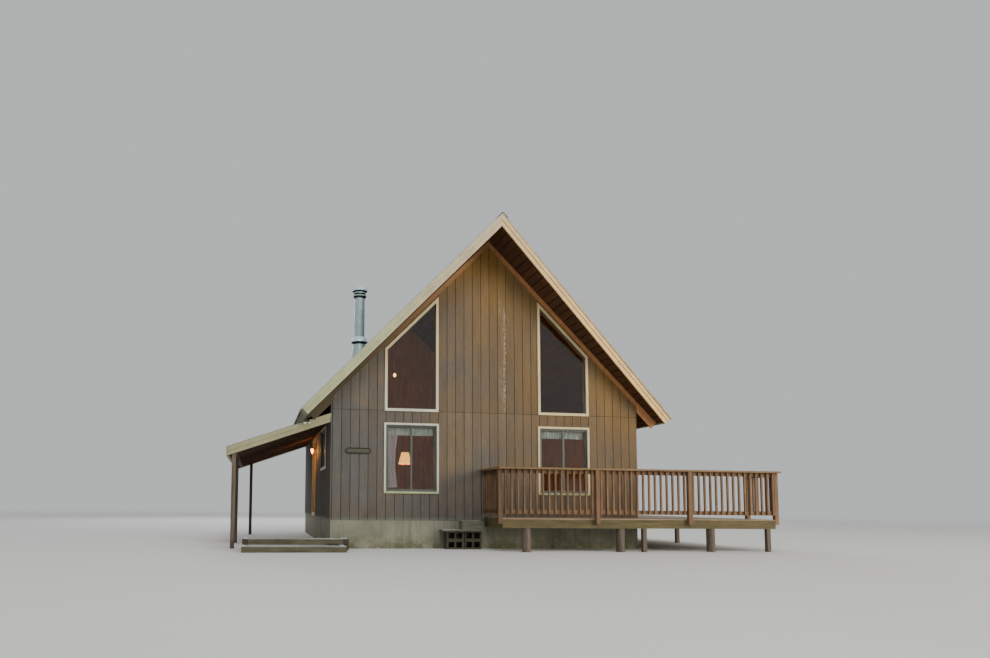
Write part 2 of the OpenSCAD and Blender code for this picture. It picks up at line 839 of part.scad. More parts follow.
// Rain cap: a base ring round the pipe's top, spacers, and stacked discs
module flue_cap() {
    base = cap_top - cap_h;
    color("slategray") translate([flue_cx, flue_cy, base]) {
        difference() {
            union() {
                cylinder(h = 70, r1 = flue_r + 12, r2 = cap_r - 12, $fn = round_fn);
                translate([0, 0, 69]) cylinder(h = 16, r = cap_r, $fn = round_fn);
            }
            translate([0, 0, -past]) cylinder(h = 85 + 2 * past, r = flue_r + fit, $fn = round_fn);
        }
        for (a = [0 : 60 : 300]) rotate(a) translate([flue_r + 25, 0, 80]) cylinder(h = 110, r = 8, $fn = 16);
        translate([0, 0, 120]) difference() {
            cylinder(h = 16, r = cap_r - 6, $fn = round_fn);
            translate([0, 0, -past]) cylinder(h = 16 + 2 * past, r = flue_r - 10, $fn = round_fn);
        }
        translate([0, 0, 186]) cylinder(h = 22, r = cap_r, $fn = round_fn);
        translate([0, 0, 207]) cylinder(h = cap_h - 207, r1 = cap_r, r2 = cap_r / 3, $fn = round_fn);
    }
}

// Flashing cone on the roof, its sloping base sheet and the storm collar over it
module flue_flashing() {
    collar_z = flue_roof + collar_h;
    sheet = roof_t + shingle_t + seat;
    sheet_x = -flue_cx - sheet * sin(roof_pitch);
    reach = sheet_half * cos(roof_pitch);
    bore = flue_r + fit;
    color("lightslategray") {
        difference() {
            mirror([1, 0, 0]) along_y(flue_cy - sheet_half, flue_cy + sheet_half)
                slope_band(sheet_x - reach, sheet_x + reach, sheet, sheet + sheet_t);
            translate([flue_cx, flue_cy, siding_z]) cylinder(h = ridge_h, r = bore + 20, $fn = round_fn);
        }
        difference() {
            translate([flue_cx, flue_cy, collar_z]) rotate_extrude($fn = round_fn) polygon([
                [bore, -cone_h], [bore + cone_h * cone_slope, -cone_h], [bore + 14, 0], [collar_r, 0],
                [collar_r, 30], [bore + 8, 160], [bore, 160]]);
            mirror([1, 0, 0]) along_y(flue_cy - 2 * sheet_half, flue_cy + 2 * sheet_half)
                slope_band(-half_w, 2 * half_w, -ridge_h, sheet + sheet_t / 2);
        }
    }
}

module porch_roof() {
    color("dimgray") along_y(porch_y, porch_end) porch_band(0, porch_w, 0, porch_plank_t);
}

// Fascia of the porch: two-tier boards across the front and back, and one along the outer edge
module porch_fascia() {
    color("tan") {
        for (end = [[porch_y - lumber_t, porch_y, front_y, porch_y - lumber_t + fuse],
                    [porch_end, porch_end + lumber_t,
                     porch_end + lumber_t - fuse, porch_end + lumber_t + rake_strip_t]]) {
            along_y(end[0], end[1]) porch_band(0, porch_w + lumber_t, 0, porch_board_h);
            along_y(end[2], end[3]) porch_band(0, porch_w + lumber_t, 0, rake_strip_h);
        }
        along_y(porch_y - fuse, porch_end + fuse) porch_band(porch_w, porch_w + lumber_t, 0, porch_board_h);
    }
}

// Rafters, the ledger on the wall and the beam over the posts
module porch_rafters() {
    low = porch_plank_t + seat;
    high = porch_plank_t + porch_rafter_h;
    count = ceil((porch_l - lumber_t) / joist_step);
    pitch = (porch_l - lumber_t) / count;
    color("saddlebrown") {
        for (i = [0 : count])
            along_y(porch_y + i * pitch, porch_y + i * pitch + lumber_t) porch_band(0, porch_w, low, high);
        along_y(porch_y, porch_end) porch_band(0, lumber_t, low, high);
        along_y(porch_y, porch_end) porch_band(porch_post_x - post_w, porch_post_x, low, high);
    }
}

// Square post from the lowest ground up to the porch's beam or last rafter
module porch_post(reach, y) {
    under = porch_plank_t + porch_rafter_h + seat;
    along_y(y, y + post_w) polygon([
        [left_x - reach, 0],
        [left_x - reach + post_w, 0],
        [left_x - reach + post_w, porch_top(reach - post_w) - under * porch_slant],
        [left_x - reach, porch_top(reach) - under * porch_slant]]);
}

module porch_posts() {
    color("sienna") {
        for (y = [porch_y, porch_y + mid_post_y]) porch_post(porch_post_x, y);
        porch_post(back_post_x, porch_end - post_w);
    }
}

// Two timber-framed steps in front of the porch
module porch_steps() {
    x0 = left_x - step_x;
    back = front_y + siding_lip - fit;
    color("gray") {
        block([x0, back - step_d, 0], [x0 + step_w, back, 2 * step_h]);
        block([x0, back - 2 * step_d, 0], [x0 + step_w - step_timber, back - step_d + fuse, step_h]);
    }
}

// Outline of the deck's floor in plan, from its front strip round the right corner
module deck_plan() {
    polygon([[deck_left, deck_front], [deck_right, deck_front], [deck_right, deck_back],
        [half_w, deck_back], [half_w, front_y], [deck_left, front_y]]);
}

// Joists and rims under the deck
module deck_frame() {
    z0 = joist_z;
    z1 = joist_z + joist_h;
    front_count = ceil((deck_right - deck_left) / joist_step);
    front_pitch = (deck_right - deck_left - lumber_t) / front_count;
    side_count = ceil(deck_side_l / joist_step);
    side_pitch = (deck_side_l - lumber_t) / side_count;
    color("sienna") {
        block([deck_left, deck_front, z0], [deck_right, deck_front + lumber_t, z1]);
        block([deck_left, front_y - lumber_t, z0], [deck_right, front_y, z1]);
        for (i = [0 : front_count])
            block([deck_left + i * front_pitch, deck_front, z0],
                  [deck_left + i * front_pitch + lumber_t, front_y, z1]);
        block([half_w, front_y - fuse, z0], [half_w + lumber_t, deck_back, z1]);
        block([deck_right - lumber_t, front_y - fuse, z0], [deck_right, deck_back, z1]);
        for (i = [1 : side_count])
            block([half_w, front_y + i * side_pitch, z0],
                  [deck_right, front_y + i * side_pitch + lumber_t, z1]);
    }
}

module deck_boards() {
    color("rosybrown") translate([0, 0, deck_z - board_t]) linear_extrude(board_t) deck_plan();
}

// Round piers and square posts under the deck, down to the lowest ground
module deck_supports() {
    under_rim = deck_right - prop_inset - post_w;
    color("darkgray") {
        for (i = [0 : 2])
            translate([deck_left + pier_x + i * pier_step, deck_front + pier_r, 0])
                cylinder(h = joist_z, r = pier_r, $fn = round_fn);
        for (p = [[deck_left + prop_x, deck_front], [under_rim, deck_front],
                  [under_rim, front_y + deck_side_l / 2], [under_rim, deck_back - post_w],
                  [half_w, deck_back - post_w]])
            block([p[0], p[1], 0], [p[0] + post_w, p[1] + post_w, joist_z]);
    }
}

// Width between the corner posts, and the places of the two posts between them
rail_x0 = deck_left;
rail_x1 = deck_right;
post_pitch = (rail_x1 - rail_x0 + post_w) / 3;
mid_posts = [rail_x0 - post_w / 2 + post_pitch, rail_x0 - post_w / 2 + 2 * post_pitch];

module railing_posts() {
    color("brown") {
        for (x = mid_posts)
            block([x - post_w / 2, deck_front - post_w, post_foot], [x + post_w / 2, deck_front, cap_z]);
        block([deck_left - post_w, deck_front, post_foot], [deck_left, deck_front + post_w, cap_z]);
        for (y = [deck_front, deck_front + return_l])
            block([deck_right, y, post_foot], [deck_right + post_w, y + post_w, cap_z]);
    }
}

module railing_front() {
    edges = [0, mid_posts[0] - rail_x0, mid_posts[1] - rail_x0, rail_x1 - rail_x0];
    color("brown") translate([rail_x0, deck_front, 0])
        rail_panel(rail_x1 - rail_x0, [
            [0, edges[1] - post_w / 2],
            [edges[1] + post_w / 2, edges[2] - post_w / 2],
            [edges[2] + post_w / 2, edges[3]]]);
}

module railing_left() {
    length = deck_d - post_w;
    color("brown") translate([deck_left, front_y, 0]) rotate(-90)
        rail_panel(length, [[0, length]]);
}

module railing_right() {
    length = return_l - post_w;
    color("brown") translate([deck_right, deck_front + post_w, 0]) rotate(90)
        rail_panel(length, [[0, length]]);
}

// Flat cap over the rails, from the wall round the deck's front to the right-hand return
module rail_cap() {
    lip = cap_w - lumber_t - 10;
    inner = lumber_t + 10;
    color("brown") {
        block([deck_left - lip, deck_front - lip, cap_z],
              [deck_right + lip, deck_front + inner, cap_z + lumber_t]);
        block([deck_left - lip, deck_front, cap_z], [deck_left + inner, front_y, cap_z + lumber_t]);
        block([deck_right - inner, deck_front, cap_z],
              [deck_right + lip, deck_front + return_l + post_w + 10, cap_z + lumber_t]);
    }
}

// Plank step by the deck's left end, with a box step on it
module plank_step() {
    x0 = left_x + plank_x;
    y1 = front_y + siding_lip - fit;
    z = 2 * block_h + fit;
    color("gray") {
        block([x0, y1 - plank_d, z], [x0 + plank_l, y1, z + lumber_t]);
        block([x0 + plank_l - block_l - 60, y1 - plank_d + 20, z + lumber_t - fuse],
              [x0 + plank_l, y1 - 20, z + lumber_t + block_h]);
    }
}

// Concrete blocks under the plank, laid with their two cores facing front
module step_blocks() {
    x0 = left_x + plank_x;
    y1 = front_y + siding_lip - fit;
    web = 35;
    core = (block_l - 3 * web) / 2;
    block_gap = 20;
    color("darkgray") for (x = [x0 + plank_l - 2 * block_l - block_gap, x0 + plank_l - block_l])
        difference() {
            block([x, y1 - plank_d + 40, 0], [x + block_l, y1, 2 * block_h]);
            for (i = [0, 1], j = [0, 1])
                block([x + web + i * (core + web), y1 - plank_d - past, web + j * block_h],
                      [x + web + i * (core + web) + core, y1 + past, j * block_h + block_h - web]);
        }
}

foundation();
floor();
front_wall();
back_wall();
left_wall_front();
left_wall_back();
left_wall_over_door();
right_wall();
roof_left();
roof_right();
shingles_left();
shingles_right();
ridge_cap();
rake_board_front_left();
rake_board_front_right();
rake_board_back_left();
rake_board_back_right();
eave_boards();
gable_trim_front();
gable_trim_back();
front_window_trim();
back_window_trim();
side_window_trim();
window_sashes();
window_glass();
entry_door();
door_frame();
door_hinges();
door_knob();
porch_lantern();
eave_floodlight();
sign_board();
flue_pipe();
flue_cap();
flue_flashing();
porch_roof();
porch_fascia();
porch_rafters();
porch_posts();
porch_steps();
deck_frame();
deck_boards();
deck_supports();
railing_posts();
railing_front();
railing_left();
railing_right();
rail_cap();
plank_step();
step_blocks();
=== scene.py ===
"""Looks of the a-frame cabin: siding, planks, shingles, timbers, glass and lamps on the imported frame."""

import math
import random

import bpy
from mathutils import Matrix, Vector


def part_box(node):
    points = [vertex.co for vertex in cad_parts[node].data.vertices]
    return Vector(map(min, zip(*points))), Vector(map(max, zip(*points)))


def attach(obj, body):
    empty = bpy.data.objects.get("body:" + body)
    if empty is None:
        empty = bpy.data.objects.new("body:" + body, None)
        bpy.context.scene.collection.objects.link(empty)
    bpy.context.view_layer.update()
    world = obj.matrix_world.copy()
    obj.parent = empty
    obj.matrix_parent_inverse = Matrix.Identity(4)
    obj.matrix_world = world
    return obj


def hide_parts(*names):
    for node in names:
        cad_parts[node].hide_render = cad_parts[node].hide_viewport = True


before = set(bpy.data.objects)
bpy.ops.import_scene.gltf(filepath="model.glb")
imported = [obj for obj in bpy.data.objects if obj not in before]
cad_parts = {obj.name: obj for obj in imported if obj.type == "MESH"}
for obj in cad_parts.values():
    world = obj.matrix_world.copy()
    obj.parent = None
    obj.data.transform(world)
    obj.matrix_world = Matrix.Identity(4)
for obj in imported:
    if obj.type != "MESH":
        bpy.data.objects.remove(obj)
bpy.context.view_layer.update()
rng = random.Random(7)


# Places, read from the frame, and sizes, all in metres

def low(node):
    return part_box(node)[0]


def high(node):
    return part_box(node)[1]


def top_at(node, axis, value):
    """Height of a node's highest point where one of its coordinates has a value."""
    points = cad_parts[node].data.vertices
    return max(p.co.z for p in points if abs(p.co[axis] - value) < 0.002)


FRONT = low("front_wall").y
BACK = high("back_wall").y
HALF = high("right_wall").x
INNER = low("right_wall").x
SILL = low("front_wall").z
RIDGE = high("front_wall").z
HEAD = top_at("right_wall", 0, HALF)
TRIM_FOOT = low("front_window_trim").z
TRIM_W = 0.057

GROOVE_STEP = 0.2032
GROOVE = 0.012
GROOVE_DEEP = 0.008
GROOVES_FROM = (-HALF + 0.0375, FRONT)
SHEET_W = 6 * GROOVE_STEP
SHEET_H = 2.438
FLASHING = 0.040
SEAM = SILL + SHEET_H + FLASHING
SEAM_GAP = 0.008

RISE = (RIDGE - HEAD) / HALF
PITCH = math.atan(RISE)
COS, SIN = math.cos(PITCH), math.sin(PITCH)
ROOF_T = 0.184
ROOF_TOP = ROOF_T + 0.020
SEAT = 0.0002
EAVE_BOARD_T = 0.038
EAVE_X = high("eave_boards").x - EAVE_BOARD_T * COS - ROOF_T * SIN
PROW_Y = low("roof_right").y
PROW_SLOPE = (low("eave_boards").y - PROW_Y) / high("eave_boards").x
BACK_EDGE = high("roof_right").y
SIDES = ((1, "right"), (-1, "left"))

COURSE = 0.127
TAB = 0.305
TAB_GAP = 0.008
SHINGLE_T = 0.0055

PORCH_X = low("porch_fascia").x
PORCH_TOP = high("porch_fascia").z
PORCH_FRONT = low("porch_fascia").y
PORCH_BACK = high("porch_fascia").y
PORCH_PITCH = math.radians(19.4)
PORCH_EDGE = 0.004

STEP_TIMBER = 0.115

# Lamps inside, at the places where the photograph shows their light, and the colour of all lit glass
LAMP = (-1.615, 1.6, 2.145)
PENDANT = (-1.62, 3.0, 4.52)
LAMP_ORANGE = (1.0, 0.42, 0.05, 1)


# Mesh pieces

LOOKS = {}


def edges(loop):
    """Each member of a closed loop with the next one."""
    return zip(loop, list(loop[1:]) + list(loop[:1]))


def place_on(axis, u, v, z):
    """A place from coordinates along a level axis (0 or 1) and across it, and a height."""
    return (u, v, z) if axis == 0 else (v, u, z)


def new_object(name, data):
    made = bpy.data.objects.new(name, data)
    bpy.context.scene.collection.objects.link(made)
    return made


class Shape:
    """Faces gathered for one piece. Each face has the number of its finish in the list given to piece()."""

    def __init__(self):
        self.points = []
        self.faces = []
        self.finish = []

    def add(self, corners, faces, finish=0, flip=False):
        """Corners, and faces given by the numbers of their corners. Flip turns the faces over."""
        start = len(self.points)
        self.points += [tuple(c) for c in corners]
        for face in faces:
            self.faces.append(tuple(start + k for k in (face[::-1] if flip else face)))
            self.finish.append(finish)

    def face(self, corners, finish=0):
        self.add(corners, [range(len(corners))], finish)

    def grid(self, rows):
        """A sheet through rows of points, each row with as many points."""
        wide = len(rows[0])
        starts = [j * wide + i for j in range(len(rows) - 1) for i in range(wide - 1)]
        self.add([p for row in rows for p in row], [(a, a + 1, a + wide + 1, a + wide) for a in starts])

    def prism(self, outline, shift, finish=0, end_finish=None):
        """A solid between a flat outline and the same outline moved by a shift."""
        n = len(outline)
        shift = Vector(shift)
        normal = Vector((0, 0, 0))
        for a, b in edges(outline):
            normal += Vector(a).cross(Vector(b))
        ends = [range(n), range(n, 2 * n)[::-1]]
        sides = [(n + i, n + j, j, i) for i, j in edges(range(n))]
        moved = [Vector(c) + shift for c in outline]
        self.add(list(outline) + moved, ends + sides, finish, normal.dot(shift) > 0)
        if end_finish is not None:
            self.finish[-n - 2:-n] = [end_finish] * 2

    def box(self, lowest, highest, finish=0, end_axis=2, end_finish=None):
        """A box. Its two faces across end_axis may have a finish of their own."""
        ends = Vector(lowest), Vector(highest)
        a, b = (end_axis + 1) % 3, (end_axis + 2) % 3
        loop = []
        for s, t in ((0, 0), (1, 0), (1, 1), (0, 1)):
            p = Vector(lowest)
            p[a], p[b] = ends[s][a], ends[t][b]
            loop.append(p)
        shift = Vector((0, 0, 0))
        shift[end_axis] = ends[1][end_axis] - ends[0][end_axis]
        self.prism(loop, shift, finish, end_finish)

    def turned(self, profile, centre, finish=0, sides=32):
        """A surface turned about the vertical through centre, from (radius, height) pairs."""
        x, y, base = centre
        rings = []
        for radius, z in profile:
            count = sides if radius > 0 else 1
            rings.append(range(len(self.points), len(self.points) + count))
            for i in range(count):
                a = 2 * math.pi * i / sides
                self.points.append((x + radius * math.cos(a), y + radius * math.sin(a), base + z))
        for r0, r1 in zip(rings, rings[1:]):
            for i, j in edges(range(sides)):
                corners = (r0[i % len(r0)], r0[j % len(r0)], r1[j % len(r1)], r1[i % len(r1)])
                self.faces.append(tuple(dict.fromkeys(corners)))
                self.finish.append(finish)

    def piece(self, name, looks, slot, replaces=None, bevel=0.0, smooth=False):
        """The piece itself, with its finishes by name, riding on the house."""
        mesh = bpy.data.meshes.new(name)
        mesh.from_pydata(self.points, [], self.faces)
        for look in looks:
            mesh.materials.append(LOOKS[look])
        mesh.polygons.foreach_set("material_index", self.finish)
        mesh.polygons.foreach_set("use_smooth", [smooth] * len(self.faces))
        mesh.update()
        if smooth:
            mesh.set_sharp_from_angle(angle=math.radians(35))
        made = new_object(name, mesh)
        if bevel:
            edge = made.modifiers.new("edge", "BEVEL")
            edge.width = bevel
            edge.segments = 1
            edge.limit_method = "ANGLE"
            edge.angle_limit = math.radians(40)
        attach(made, "house")
        if replaces:
            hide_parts(replaces)


# Flat outlines, as lists of (u, z) pairs

def extent(outline):
    """Lowest and highest u, then lowest and highest z."""
    us, zs = zip(*outline)
    return min(us), max(us), min(zs), max(zs)


def span(outline, u):
    """Lowest and highest z of a convex outline at u."""
    heights = []
    for (u0, z0), (u1, z1) in edges(outline):
        if min(u0, u1) - 1e-9 <= u <= max(u0, u1) + 1e-9:
            if abs(u1 - u0) < 1e-9:
                heights += [z0, z1]
            else:
                heights.append(z0 + (z1 - z0) * (u - u0) / (u1 - u0))
    return min(heights), max(heights)


def cells(outline, holes, u0, u1):
    """Trapezoids that fill a convex outline between u0 and u1 and leave out the convex holes."""
    breaks = {u0, u1}
    for hole in holes + [outline]:
        breaks |= {u for u, _ in hole if u0 < u < u1}
    breaks = sorted(breaks)
    for a, b in zip(breaks, breaks[1:]):
        mid = (a + b) / 2
        crossed = [h for h in holes if extent(h)[0] < mid < extent(h)[1]]
        crossed.sort(key=lambda h: span(h, mid)[0])
        lines = [[span(outline, a)[0], span(outline, b)[0]]]
        for hole in crossed:
            lines += [[span(hole, a)[i], span(hole, b)[i]] for i in (0, 1)]
        lines.append([span(outline, a)[1], span(outline, b)[1]])
        for under, over in zip(lines[::2], lines[1::2]):
            if over[0] - under[0] > 1e-4 or over[1] - under[1] > 1e-4:
                yield [(a, under[0]), (b, under[1]), (b, over[1]), (a, over[0])]


def cut(outline, z, above):
    """The part of a convex outline above or below a height."""
    kept = []
    sign = 1 if above else -1
    for (u0, z0), (u1, z1) in edges(outline):
        if sign * (z0 - z) >= 0:
            kept.append((u0, z0))
        if (z0 - z) * (z1 - z) < 0:
            kept.append((u0 + (u1 - u0) * (z - z0) / (z1 - z0), z))
    return kept if len(kept) > 2 else []


def hull(points):
    """Convex outline round points, counter-clockwise, without points on its edges."""
    points = sorted(set(points))

    def bend(a, b, c):
        return (b[0] - a[0]) * (c[1] - a[1]) - (b[1] - a[1]) * (c[0] - a[0])

    def half(row):
        chain = []
        for p in row:
            while len(chain) > 1 and bend(chain[-2], chain[-1], p) < 1e-5:
                chain.pop()
            chain.append(p)
        return chain[:-1]

    return half(points) + half(points[::-1])


def shrink(outline, inset):
    """A convex outline moved in by a distance on every side."""
    lines = []
    for (u0, z0), (u1, z1) in edges(outline):
        length = math.hypot(u1 - u0, z1 - z0)
        nu, nz = -(z1 - z0) / length, (u1 - u0) / length
        lines.append((u0 + nu * inset, z0 + nz * inset, u1 - u0, z1 - z0))
    made = []
    for (u0, z0, du0, dz0), (u1, z1, du1, dz1) in zip(lines[-1:] + lines[:-1], lines):
        t = ((u1 - u0) * dz1 - (z1 - z0) * du1) / (du0 * dz1 - dz0 * du1)
        made.append((u0 + t * du0, z0 + t * dz0))
    return made


# Materials

def srgb(r, g, b, times=1):
    """Linear colour of an sRGB colour given from 0 to 255, made darker by a factor."""
    linear = [((c / 255 + 0.055) / 1.055) ** 2.4 if c > 10 else c / 255 / 12.92 for c in (r, g, b)]
    return tuple(c * times for c in linear) + (1,)


class Look:
    """A procedural material, built by short calls that add and link nodes, and kept in LOOKS by its name.

    Its colour is laid on step by step. A colour given to a call is a socket, an sRGB triple from 0 to 255,
    or a linear colour of four numbers.
    """

    def __init__(self, name):
        self.material = bpy.data.materials.new(name)
        self.material.use_nodes = True
        self.tree = self.material.node_tree
        self.shader = self.tree.nodes["Principled BSDF"]
        self.place = self.node("TexCoord", "Object")
        self.colour = None
        LOOKS[name] = self.material

    def put(self, node, inputs):
        for name, value in inputs.items():
            socket = node.inputs[name]
            if isinstance(value, bpy.types.NodeSocket):
                self.tree.links.new(value, socket)
            elif isinstance(value, tuple):
                colour = srgb(*value) if socket.type == "RGBA" and len(value) == 3 else value
                socket.default_value = colour[:len(socket.default_value)]
            else:
                socket.default_value = value

    def node(self, kind, output=0, inputs=None, **settings):
        """One output of a new node with these settings and inputs."""
        node = self.tree.nodes.new("ShaderNode" + kind)
        for name, value in settings.items():
            setattr(node, name, value)
        self.put(node, inputs or {})
        return node.outputs[output]

    def math(self, kind, a, b=0.0, clamp=False):
        return self.node("Math", 0, {0: a, 1: b}, operation=kind, use_clamp=clamp)

    def times(self, a, b):
        return self.math("MULTIPLY", a, b)

    def plus(self, a, b, clamp=False):
        return self.math("ADD", a, b, clamp)

    def minus(self, a, b):
        return self.math("SUBTRACT", a, b)

    def axis(self, number, vector=None):
        return self.node("SeparateXYZ", number, {0: vector or self.place})

    def along(self, axis, length, turn=(0, 0, 0)):
        """Places scaled along one axis, after a turn, so that a pattern runs along it."""
        turned = self.node("Mapping", 0, {"Vector": self.place, "Rotation": turn})
        scale = tuple(length if i == axis else 1 for i in range(3))
        return self.node("Mapping", 0, {"Vector": turned, "Scale": scale})

    def noise(self, vector=None, scale=1.0, detail=4.0, rough=0.55, warp=0.0):
        return self.node("TexNoise", "Fac", {"Vector": vector or self.place, "Scale": scale, "Detail": detail,
                                             "Roughness": rough, "Distortion": warp})

    def cells(self, vector=None, scale=1.0, output="Distance", kind="F1"):
        return self.node("TexVoronoi", output, {"Vector": vector or self.place, "Scale": scale}, feature=kind)

    def chance(self, value):
        """A fixed random number from 0 to 1 for each value."""
        return self.node("TexWhiteNoise", "Value", {"W": value}, noise_dimensions="1D")

    def island(self):
        """A random number from 0 to 1 for each loose part of the mesh."""
        return self.node("NewGeometry", "Random Per Island")

    def facing(self, number):
        """One coordinate of the surface's normal."""
        return self.axis(number, self.node("NewGeometry", "Normal"))

    def level(self, value, start, end, low_to=0.0, high_to=1.0):
        """Maps a value from start and end to a clamped range."""
        return self.node("MapRange", 0, {"Value": value, "From Min": start, "From Max": end,
                                         "To Min": low_to, "To Max": high_to})

    def mix(self, amount, a, b, kind="MIX"):
        return self.node("Mix", 2, {0: amount, 6: a, 7: b}, data_type="RGBA", blend_type=kind,
                         clamp_factor=True)

    def cover(self, amount, colour, kind="MIX"):
        """Lays a colour over the material's colour."""
        self.colour = self.mix(amount, self.colour, colour, kind)

    def shade(self, value, start, end, dark, light):
        """Makes the colour darker or lighter by a value, mapped from start and end to two factors."""
        scale = self.level(value, start, end, dark, light)
        self.colour = self.node("VectorMath", 0, {0: self.colour, "Scale": scale}, operation="SCALE")

    def bump(self, height, distance, strength=1.0):
        inputs = {"Height": height, "Distance": distance, "Strength": strength}
        self.put(self.shader, {"Normal": self.node("Bump", 0, inputs)})

    def done(self, rough, **sockets):
        self.put(self.shader, {"Base Color": self.colour, "Roughness": rough})
        self.put(self.shader, {name.replace("_", " "): value for name, value in sockets.items()})


SIDING = (92, 90, 87)
# Colour of the siding where painted warm sunlight falls
SIDING_SUNLIT = (140, 106, 48)
SIDING_DIRT = (66, 60, 50)
SIDING_MOSS = (104, 108, 96)
WORN_PAINT = (198, 188, 170)

# Worn streaks of the front wall: middle, half width, bottom, top and amount
WORN_STREAKS = ((0.395, 0.055, 3.0, 5.72, 0.85), (0.280, 0.04, 5.32, 5.95, 0.8), (0.31, 0.07, 3.2, 4.4, 0.35))


def siding(name, axis, wall_shade=1.0, streaks=()):
    """Stained rough-sawn plywood, with a shade for each board and sheet, a mossy foot and worn streaks, and
    painted light: warm sunlight towards the right and the top, and darker side walls.
    """
    look = Look(name)
    z = look.axis(2)
    u = look.minus(look.axis(axis), GROOVES_FROM[axis])
    board, sheet = (look.math("FLOOR", look.math("DIVIDE", u, wide)) for wide in (GROOVE_STEP, SHEET_W))
    sheet = look.plus(sheet, look.times(look.math("GREATER_THAN", z, SEAM), 37.0))
    grain = look.noise(look.along(2, 0.05), 95, 5, 0.65)
    streak = look.noise(look.along(2, 0.12), 9, 4, 0.6)
    stain = look.noise(None, 0.7, 4, 0.6, 0.4)
    # Painted sunlight: the colour turns warmer towards the right side and near the top, loosened by a random
    # stain
    sunny = look.level(look.axis(0), -HALF, HALF)
    fade = look.times(sunny, look.level(z, SILL, RIDGE, 0.34, 0.98))
    fade = look.plus(fade, look.level(z, 5.2, RIDGE, 0, 0.5))
    fade = look.plus(fade, look.level(stain, 0.3, 0.7, -0.18, 0.18), clamp=True)
    # A factor below one darkens a side wall's whole colour: painted shade
    look.colour = look.mix(fade, srgb(*SIDING, wall_shade), srgb(*SIDING_SUNLIT, wall_shade))
    look.shade(look.chance(board), 0, 1, 0.93, 1.07)
    look.shade(look.chance(sheet), 0, 1, 0.92, 1.08)
    look.shade(grain, 0.25, 0.75, 0.80, 1.18)
    look.shade(streak, 0.3, 0.7, 0.90, 1.10)
    splashes = look.level(look.noise(look.along(2, 0.3), 6, 5), 0.35, 0.7)
    look.cover(look.times(look.level(z, SILL + 0.5, SILL, 0, 0.55), splashes), SIDING_DIRT)
    foot = look.plus(z, look.times(stain, 0.06))
    look.cover(look.level(foot, SILL + 0.10, SILL + 0.05, 0, 0.8), SIDING_MOSS)
    for middle, width, bottom, top, amount in streaks:
        away = look.math("ABSOLUTE", look.minus(look.axis(0), middle))
        band = look.level(away, width, width * 0.3, 0, amount)
        tall = look.times(look.level(z, bottom, bottom + 0.5), look.level(z, top, top - 0.3))
        flakes = look.level(look.noise(look.along(2, 0.22), 75, 6, 0.75), 0.52, 0.60)
        look.cover(look.times(look.times(band, tall), flakes), WORN_PAINT)
    look.bump(look.plus(look.times(grain, 0.7), look.times(streak, 0.3)), 0.0022, 0.6)
    look.done(look.level(grain, 0.3, 0.7, 0.92, 0.78), Specular_IOR_Level=0.2)


# Near-black colour of the siding's grooves and of the gaps between soffit planks: painted shade in the
# recesses
def groove_painted_shade(name):
    look = Look(name)
    grit = look.noise(None, 60, 5, 0.6)
    look.colour = look.mix(look.level(grit, 0.3, 0.7), (26, 20, 16), (44, 35, 28))
    look.bump(grit, 0.001)
    look.done(0.95)


def planks(name, dark, light, axis, knots=0.4, rough=0.75, pale_top=None, darker=None):
    """Stained or bare boards: grain along an axis, a shade for each board, knots, and paler patches on upward
    faces.

    A set of (axis, start, end, factor) darkens the boards along an axis: painted shade.
    """
    look = Look(name)
    fine = look.noise(look.along(axis, 0.04), 110, 5, 0.65)
    broad = look.noise(look.along(axis, 0.10), 13, 5, 0.6, 1.4)
    look.colour = look.mix(look.level(broad, 0.28, 0.72), dark, light)
    look.shade(fine, 0.25, 0.75, 0.78, 1.2)
    look.shade(look.island(), 0, 1, 0.84, 1.14)
    look.shade(look.noise(None, 2.3, 3, 0.5), 0.3, 0.7, 0.86, 1.12)
    knot = look.cells(look.along(axis, 0.35), 3.1)
    look.cover(look.level(knot, 0.035, 0.075, knots, 0), srgb(*dark, 0.35))
    # Painted shade: darker along an axis
    if darker:
        shade_axis, start, end, factor = darker
        look.shade(look.axis(shade_axis), start, end, 1, factor)
    # Paler patches on the upward faces
    if pale_top:
        up = look.level(look.facing(2), 0.6, 0.95)
        patch = look.level(look.noise(look.along(axis, 0.2), 7, 5, 0.65), 0.35, 0.6, 0.25, 1)
        look.cover(look.times(up, patch), pale_top)
    look.bump(look.plus(look.times(fine, 0.6), look.times(broad, 0.4)), 0.0025, 0.7)
    look.done(look.level(fine, 0.3, 0.7, rough + 0.1, rough - 0.08))


def end_grain(name, dark, light):
    """Sawn ends, with growth rings and checks."""
    look = Look(name)
    inputs = {"Vector": look.place, "Scale": 38.0, "Distortion": 6.0, "Detail": 3.0}
    rings = look.node("TexWave", "Fac", inputs, wave_type="RINGS", rings_direction="SPHERICAL")
    look.colour = look.mix(rings, dark, light)
    look.shade(look.noise(None, 30, 5), 0.3, 0.7, 0.75, 1.2)
    check = look.cells(None, 21, kind="DISTANCE_TO_EDGE")
    look.cover(look.level(check, 0.0, 0.05, 0.6, 0), srgb(*dark, 0.3))
    look.bump(rings, 0.001)
    look.done(0.9)


